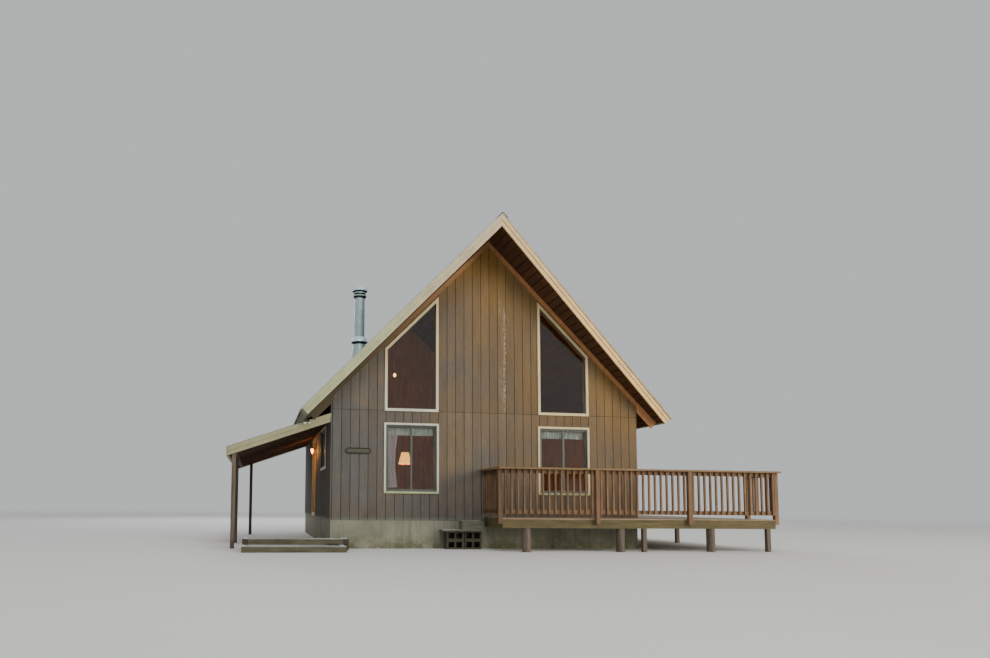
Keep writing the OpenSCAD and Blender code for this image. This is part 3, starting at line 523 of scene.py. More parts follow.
def painted(name, paint, under, axis=0, turn=(0, 0, 0), peel=0.62, rough=0.5, fades=()):
    """Painted boards: faint grain under the paint, chips that show the wood, and rain dirt.

    Each fade (axis, start, end, colour) changes the paint to another colour along an axis.
    """
    look = Look(name)
    fine = look.noise(look.along(axis, 0.05, turn), 85, 4, 0.6)
    cloud = look.noise(look.along(axis, 0.4, turn), 3.2, 4, 0.55)
    chips = look.level(look.noise(look.along(axis, 0.25, turn), 26, 6, 0.72), peel, peel + 0.03)
    look.colour = srgb(*paint)
    for fade_axis, start, end, other in fades:
        look.cover(look.level(look.axis(fade_axis), start, end), other)
    look.shade(fine, 0.3, 0.7, 0.93, 1.05)
    look.shade(cloud, 0.3, 0.7, 0.86, 1.08)
    look.cover(look.times(chips, 0.75), under)
    drips = look.noise(look.along(2, 0.18), 15, 4, 0.6)
    look.cover(look.level(drips, 0.5, 0.75, 0, 0.35), srgb(*paint, 0.55))
    look.bump(look.minus(look.times(fine, 0.5), look.times(chips, 0.6)), 0.0012)
    look.done(look.plus(look.times(chips, 0.35), rough))


def shingle_look(name):
    """Asphalt shingles: stone granules, a shade for each tab, and darker stains."""
    look = Look(name)
    grit = look.noise(None, 420, 3, 0.7)
    look.colour = look.mix(look.island(), (56, 54, 53), (78, 75, 73))
    look.cover(0.22, look.cells(None, 260, "Color"), "OVERLAY")
    look.shade(grit, 0.3, 0.7, 0.75, 1.25)
    stain = look.noise(look.along(1, 0.35), 1.1, 5, 0.6)
    look.cover(look.level(stain, 0.42, 0.68, 0, 0.6), (38, 40, 34))
    look.bump(grit, 0.0015, 0.9)
    look.done(0.93)


def concrete(name, base, moss):
    """Cast concrete: form marks, rain streaks, pits and moss near the ground."""
    look = Look(name)
    fine = look.noise(None, 48, 6, 0.7)
    pits = look.level(look.cells(None, 34), 0.0, 0.12, 1, 0)
    cloud = look.level(look.noise(None, 1.6, 6, 0.6, 0.3), 0.3, 0.7)
    look.colour = look.mix(cloud, tuple(c * 0.80 for c in base), base)
    look.shade(fine, 0.3, 0.7, 0.86, 1.12)
    streak = look.noise(look.along(2, 0.08), 11, 5, 0.6)
    look.cover(look.level(streak, 0.48, 0.7, 0, 0.5), (92, 84, 70))
    look.cover(look.times(pits, 0.5), (70, 65, 56))
    patches = look.level(look.noise(None, 5.5, 5, 0.65), 0.36, 0.6)
    look.cover(look.times(look.level(look.axis(2), 0.42, 0.02, 0, moss), patches), (78, 80, 50))
    look.bump(look.minus(look.times(fine, 0.6), pits), 0.003, 0.8)
    look.done(look.level(fine, 0.3, 0.7, 0.95, 0.82))


def gravel(name):
    look = Look(name)
    pebbles = look.cells(None, 46)
    look.colour = look.mix(look.axis(0, look.cells(None, 46, "Color")), (168, 170, 168), (222, 226, 226))
    look.shade(pebbles, 0.1, 0.6, 1, 0.45)
    look.bump(pebbles, 0.006)
    look.done(0.95)


def galvanised(name, dark, light, dull=0.30):
    """Zinc-coated steel: crystal spangle, white bloom and rain marks."""
    look = Look(name)
    spangle = look.axis(0, look.cells(None, 55, "Color"))
    bloom = look.level(look.noise(look.along(2, 0.3), 9, 5, 0.6), 0.45, 0.7)
    look.colour = look.mix(look.level(spangle, 0, 1, 0.1, 0.9), dark, light)
    look.cover(look.times(bloom, 0.3), (0.5, 0.5, 0.48, 1))
    look.bump(look.noise(None, 120, 3), 0.0004)
    look.done(look.level(bloom, 0, 1, dull, dull + 0.25), Metallic=0.35)


def metal(name, colour, rough, metallic=1.0):
    """Cast or drawn metal with fine scratches and tarnish."""
    look = Look(name)
    tarnish = look.level(look.noise(None, 60, 5, 0.6), 0.4, 0.7, 0, 0.2)
    scratch = look.noise(look.along(2, 0.05), 240, 3, 0.6)
    look.colour = look.mix(tarnish, colour, tuple(c * 0.35 for c in colour[:3]) + (1,))
    look.bump(scratch, 0.0002)
    look.done(look.level(scratch, 0.3, 0.7, rough - 0.06, rough + 0.12), Metallic=metallic)


def floodlight_look(name):
    """Dull olive metal above, and the white glass of the bulbs at the node's lowest part."""
    look = Look(name)
    dirt = look.noise(None, 70, 4, 0.6)
    look.colour = srgb(226, 224, 214)
    look.shade(dirt, 0.3, 0.7, 0.85, 1.05)
    shell = look.mix(look.level(dirt, 0.3, 0.7), (40, 36, 20), (66, 60, 36))
    bottom = low("eave_floodlight").z
    above = look.level(look.axis(2), bottom + 0.046, bottom + 0.052)
    look.cover(above, shell)
    look.done(look.level(above, 0, 1, 0.2, 0.6))


def glass(name):
    """Window glass with a film of dust."""
    look = Look(name)
    look.colour = (0.80, 0.86, 0.83, 1)
    film = look.level(look.noise(None, 3.5, 5, 0.6), 0.35, 0.75, 0.01, 0.07)
    look.done(film, Transmission_Weight=1.0, IOR=1.45)


def glow(name, strength, pale):
    """Lit glass or cloth with paler clouds."""
    look = Look(name)
    swirl = look.level(look.noise(None, 35, 3), 0.3, 0.7, 0, pale)
    lit = look.mix(swirl, LAMP_ORANGE, (1, 0.93, 0.78, 1))
    look.colour = LAMP_ORANGE
    look.done(0.3, Emission_Color=lit, Emission_Strength=strength)


def cloth(name, colour):
    """Thin woven cloth with vertical folds."""
    look = Look(name)
    folds = look.noise(look.along(2, 0.05), 18, 3, 0.5)
    look.colour = srgb(*colour)
    look.shade(folds, 0.3, 0.7, 0.78, 1.08)
    look.bump(look.plus(folds, look.times(look.cells(None, 600), 0.1)), 0.004)
    look.done(0.9)


def wood_looks():
    planks("lining_wood", (150, 104, 62), (190, 142, 92), 2, 0.5)
    planks("soffit_wood", (64, 37, 16), (98, 60, 28), 1, 0.3)
    planks("porch_soffit_wood", (48, 30, 20), (74, 48, 32), 1, 0.3)
    planks("rafter_wood", (60, 38, 26), (88, 58, 40), 0, 0.3)
    planks("door_wood", (122, 78, 44), (160, 108, 64), 2, 0.25, 0.55)
    planks("floor_wood", (128, 88, 54), (168, 122, 80), 0, 0.3, 0.45)
    post, first_post = ((74, 64, 54), (106, 94, 80)), low("porch_posts").y
    planks("post_wood", *post, 2)
    # The porch posts darken towards the back: painted shade
    planks("porch_post_wood", *post, 2, darker=(1, first_post + 0.3, first_post + 2.2, 0.45))
    timber, timber_top = ((60, 57, 42), (94, 90, 70)), (226, 232, 234)
    board, board_top = ((122, 98, 76), (158, 134, 108)), (156, 146, 130)
    for axis, word in enumerate("xy"):
        planks("timber_wood_" + word, *timber, axis, rough=0.85, pale_top=timber_top)
        planks("deck_board_" + word, *board, axis, rough=0.8, pale_top=board_top)
    end_grain("timber_end", (44, 40, 30), (78, 72, 56))
    planks("plank_wood", (84, 84, 72), (118, 118, 104), 0, rough=0.85, pale_top=(206, 210, 206))
    planks("deck_frame_wood", (72, 63, 35), (104, 93, 54), 0, pale_top=(150, 140, 122))
    planks("rail_stain_x", (98, 73, 44), (136, 109, 70), 0, 0.3, 0.7, pale_top=(150, 132, 98))
    # The railing darkens towards its left end: painted shade
    left = low("railing_left").x
    planks("rail_stain_z", (94, 67, 44), (130, 98, 66), 2, 0.3, 0.7, darker=(0, left + 1.2, left, 0.6))
    planks("sign_wood", (62, 62, 52), (84, 84, 72), 0, 0.3, 0.8)
    planks("sign_rim_wood", (26, 26, 20), (40, 40, 32), 0, 0.3, 0.8)


def paint_looks():
    siding("siding_front", 0, streaks=WORN_STREAKS)
    siding("siding_back", 0)
    # The side walls are darkened as painted shade, the left wall under the porch most
    siding("siding_left", 1, 0.64)
    siding("siding_right", 1, 0.85)
    groove_painted_shade("groove_painted_shade")
    painted("drip_edge_paint", (240, 234, 216), (170, 150, 120), 1)
    # The right rake boards get a warmer, yellower copy of the rake paint, yellowest towards the eave: painted
    # sunlight
    painted("fascia_paint_right", (214, 184, 130), (150, 118, 80), turn=(0, PITCH, 0),
            fades=((0, 0.3, 2.5, (228, 188, 118)),))
    painted("fascia_paint_left", (180, 186, 143), (126, 116, 84), turn=(0, -PITCH, 0),
            fades=((0, -3.5, -0.6, (200, 182, 148)),))
    painted("fascia_paint_eave", (162, 156, 120), (118, 106, 80), 1)
    painted("fascia_paint_porch", (156, 154, 118), (112, 106, 78))
    # The trim is dark olive on the left and lighter and redder on the right: painted shade and sunlight
    painted("brown_trim_paint", (74, 64, 42), (56, 46, 34), turn=(0, PITCH, 0), peel=0.66, rough=0.65,
            fades=((0, -3.0, 1.2, (190, 132, 82)),))
    # The trim paint turns warmer towards the right and on the upper windows: painted sunlight. Its greener
    # foot is moss.
    painted("window_trim_paint", (206, 203, 184), (150, 136, 110), 2, peel=0.68,
            fades=((0, -1.4, 1.6, (222, 198, 142)), (2, 3.3, 4.4, (222, 200, 150)),
                   (2, TRIM_FOOT + 0.058, TRIM_FOOT + 0.03, (170, 174, 128))))
    painted("sash_paint", (82, 90, 80), (60, 64, 56), 2, peel=0.72, rough=0.45)
    painted("door_casing_paint", (198, 168, 112), (140, 112, 76), 2, peel=0.7)


def other_looks():
    shingle_look("asphalt_shingle")
    glass("window_glass")
    metal("brass", (0.72, 0.49, 0.20, 1), 0.3)
    metal("black_metal", (0.025, 0.024, 0.023, 1), 0.45, 0.6)
    # Near-black finish of the flue's gaps and hollows: painted shade
    metal("flue_gap_painted_shade", (0.02, 0.02, 0.024, 1), 0.6, 0.5)
    floodlight_look("floodlight_metal")
    galvanised("galvanised_steel", (150, 176, 172), (182, 210, 208))
    galvanised("bright_steel", (196, 230, 252), (230, 250, 255), 0.4)
    concrete("foundation_concrete", (142, 142, 124), 0.85)
    # The step blocks' near-black colour is painted shade
    concrete("block_concrete_painted_shade", (64, 64, 53), 0.7)
    gravel("gravel")
    cloth("window_shade", (206, 208, 198))
    cloth("window_curtain", (236, 216, 220))
    glow("lantern_glow", 3.2, 0.2)
    glow("lamp_shade_glow", 1.7, 0.15)
    glow("lamp_bulb_glow", 4.5, 0.3)


# Walls with grooved siding

def grooved_wall(name, node, axis, outer, inner, outline, holes, paint):
    """A wall whose outer face is cut into boards by grooves and a sheet joint, replacing its CAD node."""
    near_edge, least_board = 0.02, 0.01
    shape = Shape()
    deep = math.copysign(GROOVE_DEEP, inner - outer)
    left = GROOVES_FROM[axis]
    first, last = extent(outline)[:2]
    for i in range(math.floor((first - left) / GROOVE_STEP), math.ceil((last - left) / GROOVE_STEP)):
        u0, u1 = left + i * GROOVE_STEP, left + (i + 1) * GROOVE_STEP
        u0 = first if abs(u0 - first) < near_edge else max(u0 + GROOVE / 2, first)
        u1 = last if abs(u1 - last) < near_edge else min(u1 - GROOVE / 2, last)
        if u1 - u0 < least_board:
            continue
        for cell in cells(outline, holes, u0, u1):
            for above, z in ((False, SEAM - SEAM_GAP / 2), (True, SEAM + SEAM_GAP / 2)):
                part = cut(cell, z, above)
                if part:
                    shape.prism([place_on(axis, u, outer, z) for u, z in part], place_on(axis, 0, deep, 0))
    # Groove bottoms take the second, near-black finish: painted shade
    for cell in cells(outline, holes, first, last):
        shape.face([place_on(axis, u, outer + deep, z) for u, z in cell], 1)
        shape.face([place_on(axis, u, inner, z) for u, z in cell], 2)
    for loop, finish in [(outline, 0)] + [(hole, 2) for hole in holes]:
        for a, b in edges(loop):
            corners = ((a, outer + deep), (b, outer + deep), (b, inner), (a, inner))
            shape.face([place_on(axis, u, v, z) for (u, z), v in corners], finish)
    shape.piece(name, [paint, "groove_painted_shade", "lining_wood"], "siding", replaces=node)


def node_hole(node, test, axis=0):
    """Outline of the opening inside a window's trim, from the points of the trim's node that pass a test."""
    places = [p.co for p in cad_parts[node].data.vertices if test(p.co)]
    return hull(shrink(hull([(round(p[axis], 4), round(p.z, 4)) for p in places]), TRIM_W))


def gable_holes(word, rows=(False, True)):
    """Openings of the front or back windows, the left side's first. A row is False below and True above."""
    node = word + "_window_trim"
    split = (high(node).z + low(node).z) / 2 - 0.45
    return [node_hole(node, lambda p: (p.x > 0) == right and (p.z > split) == above)
            for right in (False, True) for above in rows]


def side_hole(right):
    return node_hole("side_window_trim", lambda p: (p.x > 0) == right, 1)


def walls():
    gable = [(-HALF, SILL), (HALF, SILL), (HALF, HEAD), (0, RIDGE), (-HALF, HEAD)]
    depth = HALF - INNER
    for word, outer, inner in (("front", FRONT, FRONT + depth), ("back", BACK, BACK - depth)):
        grooved_wall("siding_wall_" + word, word + "_wall", 0, outer, inner, gable, gable_holes(word),
                     "siding_" + word)
    for node, side, holes in (("left_wall_front", -1, [side_hole(False)]), ("left_wall_back", -1, []),
                              ("left_wall_over_door", -1, []), ("right_wall", 1, [side_hole(True)])):
        lo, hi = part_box(node)
        outline = [(lo.y, lo.z), (hi.y, lo.z), (hi.y, HEAD), (lo.y, HEAD)]
        grooved_wall("siding_" + node, node, 1, side * HALF, side * INNER, outline, holes,
                     "siding_right" if side > 0 else "siding_left")


def window_frames():
    """Metal frames of the sliding windows, which lap over the inner edges of the trims."""
    lap, lip, proud, deep = 0.013, 0.010, 0.003, 0.024
    for word, axis, face, out, holes in (
            ("front", 0, low("front_window_trim").y, -1, gable_holes("front", (False,))),
            ("back", 0, high("back_window_trim").y, 1, gable_holes("back", (False,))),
            ("left", 1, low("side_window_trim").x, -1, [side_hole(False)]),
            ("right", 1, high("side_window_trim").x, 1, [side_hole(True)])):
        shape = Shape()
        outside, inside = face + out * proud, face - out * deep
        for hole in holes:
            wide, narrow = shrink(hole, -lap), shrink(hole, lip)
            rings = [[place_on(axis, u, v, z) for u, z in loop] for loop, v in (
                (wide, outside), (wide, inside), (narrow, inside), (narrow, outside))]
            for a, b in edges(rings):
                for i, j in edges(range(len(hole))):
                    shape.face([a[i], a[j], b[j], b[i]])
        shape.piece("window_frames_" + word, ["sash_paint"], "sash_paint")


# Roof

def slope_at(side, x, d):
    """Place on a main roof slope, at a level distance from the ridge and a height square to the slope."""
    return side * (x + d * SIN), RIDGE + SEAT - x * RISE + d * COS


def prow_y(x):
    """Front edge of the roof panel at a distance from the ridge line."""
    return PROW_Y + PROW_SLOPE * x


def roof_board(shape, side, x0, x1, d0, d1, front, back, finish=0):
    """A board along a slope. Its front end is a place, or a function of the distance from the ridge."""
    loop = []
    for x, d in ((x0, d0), (x1, d0), (x1, d1), (x0, d1)):
        px, pz = slope_at(side, x, d)
        loop.append((px, front(abs(px)) if callable(front) else front, pz))
    quads = ((0, 1, 2, 3), (7, 6, 5, 4), (0, 4, 5, 1), (1, 5, 6, 2), (2, 6, 7, 3), (3, 7, 4, 0))
    shape.add(loop + [(x, back, z) for x, _, z in loop], quads, finish, side < 0)


def roof_panels():
    """Roof panels with planks on their undersides, each row of planks in three lengths."""
    plank, gap, thick, half_joint, clear = 0.19, 0.020, 0.019, 0.0015, 0.0005
    rows = math.ceil(EAVE_X / COS / plank)
    step = EAVE_X / rows
    for side, word in SIDES:
        shape = Shape()
        # The board above the planks, seen through their gaps, takes the near-black finish: painted shade
        roof_board(shape, side, 0, EAVE_X, thick, ROOF_T, prow_y, BACK_EDGE, 1)
        for i in range(rows):
            x0, x1 = i * step, (i + 1) * step - gap * COS
            a, b = sorted(rng.uniform(0.5, 8.0) for _ in range(2))
            for start, end in ((prow_y, a - half_joint), (a + half_joint, b - half_joint),
                               (b + half_joint, BACK_EDGE)):
                roof_board(shape, side, x0, x1, 0, thick - clear, start, end)
        shape.piece("planked_roof_" + word, ["soffit_wood", "groove_painted_shade"], "soffit_wood",
                    replaces="roof_" + word)


def shingle_slope(shape, place, length, front, back):
    """Courses of three-tab shingles. place(s, d) gives x and z at s up from the eave and d over the deck."""
    lap, top_t, half_gap = 0.02, 0.0008, TAB_GAP / 2
    rows = math.ceil(length / COURSE)
    course = length / rows
    for i in range(rows):
        s0, s1 = i * course, min((i + 1) * course + lap, length)
        front0, front1 = front(place(s0, 0)[0]), front(place(s1, 0)[0])
        offset = (0.0 if i % 2 else TAB / 2) + rng.uniform(-0.006, 0.006)
        y, edge = back, min(back - offset, back)
        while True:
            y0, y1 = max(edge, front0), max(edge, front1)
            if y - y0 > 0.01:
                raised = SHINGLE_T + rng.uniform(0.0, 0.0012)
                far = y - half_gap
                corners = []
                for s, near, over in ((s0, y0 + half_gap, raised), (s1, min(y1 + half_gap, far), top_t)):
                    (x, z), (x_over, z_over) = place(s, 0.0), place(s, over)
                    corners += [(x, near, z), (x, far, z), (x_over, far, z_over), (x_over, near, z_over)]
                shape.add(corners, ((0, 1, 2, 3), (3, 2, 6, 7), (0, 3, 7, 4), (1, 5, 6, 2)))
            if edge <= min(front0, front1):
                break
            y = edge
            edge -= TAB


def shingles():
    """Drip edge, underlay and shingle courses of both slopes."""
    lip = high("shingles_right").x
    drip, deck = ROOF_T + 0.008, ROOF_TOP - 0.0067
    eave = lip - deck * SIN
    for side, word in SIDES:
        lo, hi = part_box("shingles_" + word)
        shape = Shape()

        def front(x):
            return lo.y + PROW_SLOPE * abs(x)

        def place(s, d):
            return slope_at(side, eave - s * COS, deck + d)

        roof_board(shape, side, -drip * SIN, lip - drip * SIN, ROOF_T + SEAT, drip, front, hi.y, 1)
        roof_board(shape, side, -deck * SIN, eave, drip + SEAT, deck, front, hi.y)
        shingle_slope(shape, place, lip / COS - 0.004, front, hi.y)
        shape.piece("shingle_courses_" + word, ["asphalt_shingle", "drip_edge_paint"], "shingle",
                    replaces="shingles_" + word)


def ridge_shingles():
    """Overlapping cap pieces folded over the ridge."""
    lo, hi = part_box("ridge_cap")
    shape = Shape()
    wing, thick, lift, under, lap = hi.x, 0.004, 0.0052, 0.0006, 0.015
    apex = RIDGE + (ROOF_TOP + SEAT) / COS
    y = lo.y
    while y < hi.y - 0.02:
        end = min(y + COURSE + lap, hi.y)
        for side, _ in SIDES:
            corners = [(side * x, place, z + up / COS)
                       for place, ups in ((y, (lift, lift + thick)), (end, (under, under)))
                       for x, z in ((0, apex), (wing, apex - wing * RISE)) for up in ups]
            shape.add(corners, ((0, 2, 3, 1), (1, 3, 7, 5), (2, 6, 7, 3)), flip=side < 0)
        y += COURSE
    shape.piece("ridge_cap_shingles", ["asphalt_shingle"], "shingle", replaces="ridge_cap")


def porch_at(s, d):
    """Place on the porch roof: distance up its slope from the outer edge, and a height square to it."""
    x = PORCH_X + s * math.cos(PORCH_PITCH)
    z = PORCH_TOP - (-HALF - x) * math.tan(PORCH_PITCH)
    return x - d * math.sin(PORCH_PITCH), z + d * math.cos(PORCH_PITCH)


def porch_cover():
    """Shingles on the porch roof, with a thin sheet below them."""
    shape = Shape()
    length = (-HALF - PORCH_X) / math.cos(PORCH_PITCH) - PORCH_EDGE
    sheet = ((PORCH_EDGE, 0.0005), (length, 0.0005), (length, PORCH_EDGE), (PORCH_EDGE, PORCH_EDGE))
    outline = [(x, PORCH_FRONT, z) for x, z in (porch_at(s, d) for s, d in sheet)]
    shape.prism(outline, (0, PORCH_BACK - PORCH_FRONT, 0))
    shingle_slope(shape, lambda s, d: porch_at(s + 0.006, PORCH_EDGE + d), length, lambda x: PORCH_FRONT,
                  PORCH_BACK)
    shape.piece("porch_shingles", ["asphalt_shingle"], "shingle")


# Deck and steps

def deck_floor():
    """Deck boards with gaps: along the front, and along the side wing."""
    lo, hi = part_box("deck_boards")
    width, gap, end_gap = 0.139, 0.006, 0.001
    for axis, word, start, stop, first, last, joint, node in (
            (0, "front", lo.y, FRONT, lo.x, hi.x, (2.2, 4.2), "deck_boards"),
            (1, "side", HALF, hi.x, FRONT, hi.y, (1.6, 2.9), None)):
        shape = Shape()
        rows = round((stop - start) / (width + gap))
        step = (stop - start) / rows
        for i in range(rows):
            v = start + i * step
            joints = [first, first + rng.uniform(*joint), last]
            for u0, u1 in zip(joints, joints[1:]):
                under, top = lo.z + rng.uniform(0, 0.001), hi.z - rng.uniform(0, 0.0015)
                shape.box(place_on(axis, u0 + end_gap, v + gap / 2, under),
                          place_on(axis, u1 - end_gap, v + step - gap / 2, top), 0, axis, 1)
        shape.piece("deck_boards_" + word, ["deck_board_" + "xy"[axis], "timber_end"], "deck_board_wood",
                    replaces=node, bevel=0.003)


def porch_steps():
    """Two steps of stacked timbers, filled with packed gravel."""
    lo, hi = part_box("porch_steps")
    step, middle, t = hi.z / 2, lo.y + (hi.y - lo.y) / 2, STEP_TIMBER
    short, joint = hi.x - t, 0.001
    wood = Shape()
    for x0, x1, y, z in ((lo.x, short, lo.y, 0), (lo.x + t, short, middle, step)):
        wood.box((x0, y, z), (x1, y + t, z + step), 0, 0, 2)
    for x, y0, y1, z in ((lo.x, lo.y + t + 0.002, middle, 0), (short - t, lo.y + t + 0.002, middle, 0),
                         (lo.x, middle, hi.y, 0), (short, middle, hi.y, 0),
                         (lo.x, middle - 0.004, hi.y, step), (short, middle - 0.004, hi.y, step)):
        wood.box((x, y0, z + joint), (x + t, y1, z + step - joint), 1, 1, 2)
    wood.piece("step_timbers", ["timber_wood_x", "timber_wood_y", "timber_end"], "step_wood",
               replaces="porch_steps", bevel=0.006)
    x0, mesh, sunk, rough = lo.x + t, 0.03, 0.014, 0.006
    for word, x1, y0, y1, z in (("upper", short, middle + t, hi.y, 2 * step),
                                ("lower", short - t, lo.y + t, middle, step)):
        columns, rows = round((x1 - x0) / mesh), round((y1 - y0) / mesh)
        xs = [x0 + (x1 - x0) * i / columns for i in range(columns + 1)]
        ys = [y0 + (y1 - y0) * j / rows for j in range(rows + 1)]
        fill = Shape()
        fill.grid([[(x, y, z - sunk + rng.uniform(-rough, rough)) for x in xs] for y in ys])
        fill.piece("gravel_" + word, ["gravel"], "concrete", smooth=True)


# Flue, in three finishes: two steels, and a near-black one of painted shade for its gaps

FLUE_LOOKS = ["galvanised_steel", "bright_steel", "flue_gap_painted_shade"]
STEEL, BRIGHT, GAP = 0, 1, 2
FLUE_SIDES = 48


def flue_axis():
    """Place of the flue's axis, and the radius of its pipe."""
    lo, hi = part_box("flue_pipe")
    return (lo.x + hi.x) / 2, (lo.y + hi.y) / 2, (hi.x - lo.x) / 2 - 0.004


def flue():
    """Metal flue: a cap of stacked rings with near-black gaps of painted shade, and a pipe with a seam and a
    near-black inside of painted shade.
    """
    x, y, r = flue_axis()
    lo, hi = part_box("flue_cap")
    top, wide, end = hi.z - 0.066, (hi.x - lo.x) / 2, 0.296
    foot = low("flue_pipe").z
    seam = high("flue_flashing").z + 0.20
    cap = Shape()
    for finish, profile in (
            (BRIGHT, ((wide, -0.116), (wide, -0.062), (wide - 0.014, -0.048), (wide - 0.05, -0.034),
                      (0.05, -0.008), (0.0, 0.0))),
            (GAP, ((r + 0.014, -0.148), (r + 0.016, -0.122), (wide, -0.116))),
            (STEEL, ((r + 0.024, -0.176), (r + 0.026, -0.150), (r + 0.014, -0.148))),
            (GAP, ((r + 0.012, -0.222), (r + 0.012, -0.178), (r + 0.024, -0.176))),
            (STEEL, ((r + 0.044, -0.252), (r + 0.044, -0.226), (r + 0.012, -0.222))),
            (GAP, ((r, -end), (r + 0.012, -0.292), (r + 0.016, -0.256), (r + 0.044, -0.252)))):
        cap.turned(profile, (x, y, top), finish, FLUE_SIDES)
    cap.piece("flue_cap_rings", FLUE_LOOKS, "galvanised", replaces="flue_cap", smooth=True)
    pipe = Shape()
    pipe.turned(((r, foot), (r, seam - 0.012), (r + 0.003, seam - 0.010), (r + 0.003, seam + 0.010),
                 (r, seam + 0.012), (r, top - end)), (x, y, 0), STEEL, FLUE_SIDES)
    pipe.turned(((r - 0.02, top - end), (r - 0.02, foot)), (x, y, 0), GAP, FLUE_SIDES)
    pipe.piece("flue_tube", FLUE_LOOKS, "galvanised", replaces="flue_pipe", smooth=True)


def flashing():
    """Roof flashing: the storm collar, a cone cut to the slope under it, and a sheet on the shingles."""
    lo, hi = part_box("flue_flashing")
    x, y, r = flue_axis()
    collar, brim = hi.z - 0.160, 0.206
    shape = Shape()
    shape.turned(((brim, -0.058), (brim, -0.044), (brim - 0.012, -0.010), (r + 0.040, 0.050),
                  (r + 0.014, 0.078), (r, 0.084)), (x, y, collar), BRIGHT, FLUE_SIDES)
    # The collar's underside takes the near-black finish: painted shade
    shape.turned(((r + 0.018, -0.130), (r + 0.018, -0.075), (brim, -0.058)), (x, y, collar), GAP, FLUE_SIDES)
    mouth, mouth_r, flare = collar - 0.110, r + 0.026, 0.11
    roof = RIDGE + x * RISE + (ROOF_TOP + 0.005) / COS
    upper, lower = [], []
    for i in range(FLUE_SIDES):
        a = 2 * math.pi * i / FLUE_SIDES
        foot = (mouth_r + flare * (mouth - roof)) / (1 + flare * RISE * math.cos(a))
        upper.append((x + mouth_r * math.cos(a), y + mouth_r * math.sin(a), mouth))
        lower.append((x + foot * math.cos(a), y + foot * math.sin(a), roof + foot * math.cos(a) * RISE))
    quads = [(FLUE_SIDES + i, FLUE_SIDES + j, j, i) for i, j in edges(range(FLUE_SIDES))]
    shape.add(upper + lower, quads, STEEL)
    margin, under, over = 0.006, ROOF_TOP + 0.0004, ROOF_TOP + 0.0044
    left, right = lo.x + margin, hi.x - margin
    shape.prism([(u, lo.y, RIDGE + u * RISE + up / COS)
                 for u, up in ((left, under), (right, under), (right, over), (left, over))],
                (0, hi.y - lo.y, 0), STEEL)
    shape.piece("flue_flashing_cone", FLUE_LOOKS, "galvanised", replaces="flue_flashing", smooth=True)


# Lamps, sign and window shades

def point_light(name, place, watts, colour, size):
    """A small light that the camera doesn't see."""
    data = bpy.data.lights.new(name, "POINT")
    data.energy = watts
    data.color = colour
    data.shadow_soft_size = size
    made = new_object(name, data)
    made.location = place
    made.visible_camera = False
    return made


def lantern():
    """Wall lantern: plate, arm, cap with finial, four bars and lit glass."""
    lo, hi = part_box("porch_lantern")
    x, y, base = lo.x + 0.066, (lo.y + hi.y) / 2, lo.z
    body, sides, bar = Shape(), 24, 0.003
    body.box((hi.x - 0.016, y - 0.048, base + 0.004), (hi.x, y + 0.048, hi.z - 0.004))
    body.box((x, y - 0.009, base + 0.151), (hi.x - 0.015, y + 0.009, base + 0.167))
    for profile in (
            ((0.0, 0.0), (0.012, 0.002), (0.026, 0.010), (0.036, 0.018), (0.036, 0.023), (0.0, 0.023)),
            ((0.065, 0.168), (0.065, 0.173), (0.026, 0.198), (0.010, 0.206), (0.012, 0.212), (0.0, 0.214))):
        body.turned(profile, (x, y, base), sides=sides)
    for i in range(4):
        a = math.pi / 4 + i * math.pi / 2
        foot, head = (Vector((x + r * math.cos(a), y + r * math.sin(a), base + z))
                      for r, z in ((0.035, 0.021), (0.054, 0.169)))
        square = [foot + Vector((dx, dy, 0))
                  for dx, dy in ((-bar, -bar), (bar, -bar), (bar, bar), (-bar, bar))]
        body.prism(square, head - foot)
    body.piece("lantern_body", ["black_metal"], "black_metal", replaces="porch_lantern", bevel=0.0015)
    lit = Shape()
    lit.turned(((0.0, 0.024), (0.030, 0.025), (0.044, 0.160), (0.0, 0.161)), (x, y, base), sides=sides)
    lit.piece("lantern_glass", ["lantern_glow"], "glass", smooth=True)
    point_light("lantern_light", (x - 0.10, y - 0.08, base + 0.09), 18, (1.0, 0.42, 0.10), 0.05)


def inside_lamps():
    """Floor lamp with a lit shade and a pendant lamp, both seen through the front windows."""
    floor = high("floor").z
    stand, shade, bulb = Shape(), Shape(), Shape()
    x, y, z = LAMP
    stand.turned(((0.0, 0.0), (0.13, 0.001), (0.13, 0.012), (0.02, 0.022), (0.011, 0.04),
                  (0.011, z - floor), (0.0, z - floor)), (x, y, floor), sides=24)
    shade.turned(((0.165, -0.145), (0.167, -0.145), (0.093, 0.145), (0.091, 0.145)), LAMP)
    x, y, z = PENDANT
    cord = RIDGE + x * RISE - 0.001 - z
    stand.turned(((0.0, 0.045), (0.022, 0.046), (0.022, 0.095), (0.004, 0.105), (0.004, cord), (0.0, cord)),
                 PENDANT, sides=12)
    bulb.turned(((0.0, -0.055), (0.028, -0.045), (0.042, -0.015), (0.038, 0.015), (0.020, 0.046)), PENDANT,
                sides=20)
    stand.piece("lamp_stand_and_cord", ["black_metal"], "black_metal", smooth=True)
    shade.piece("lamp_shade", ["lamp_shade_glow"], "glass", smooth=True)
    bulb.piece("pendant_bulb", ["lamp_bulb_glow"], "glass", smooth=True)
    for name, (x, y, z), watts in (("lamp_light", LAMP, 85), ("pendant_light", PENDANT, 60)):
        made = point_light(name, (x, y, z + 0.25), watts, (1.0, 0.52, 0.22), 0.08)
        made.visible_transmission = False
        made.visible_glossy = False


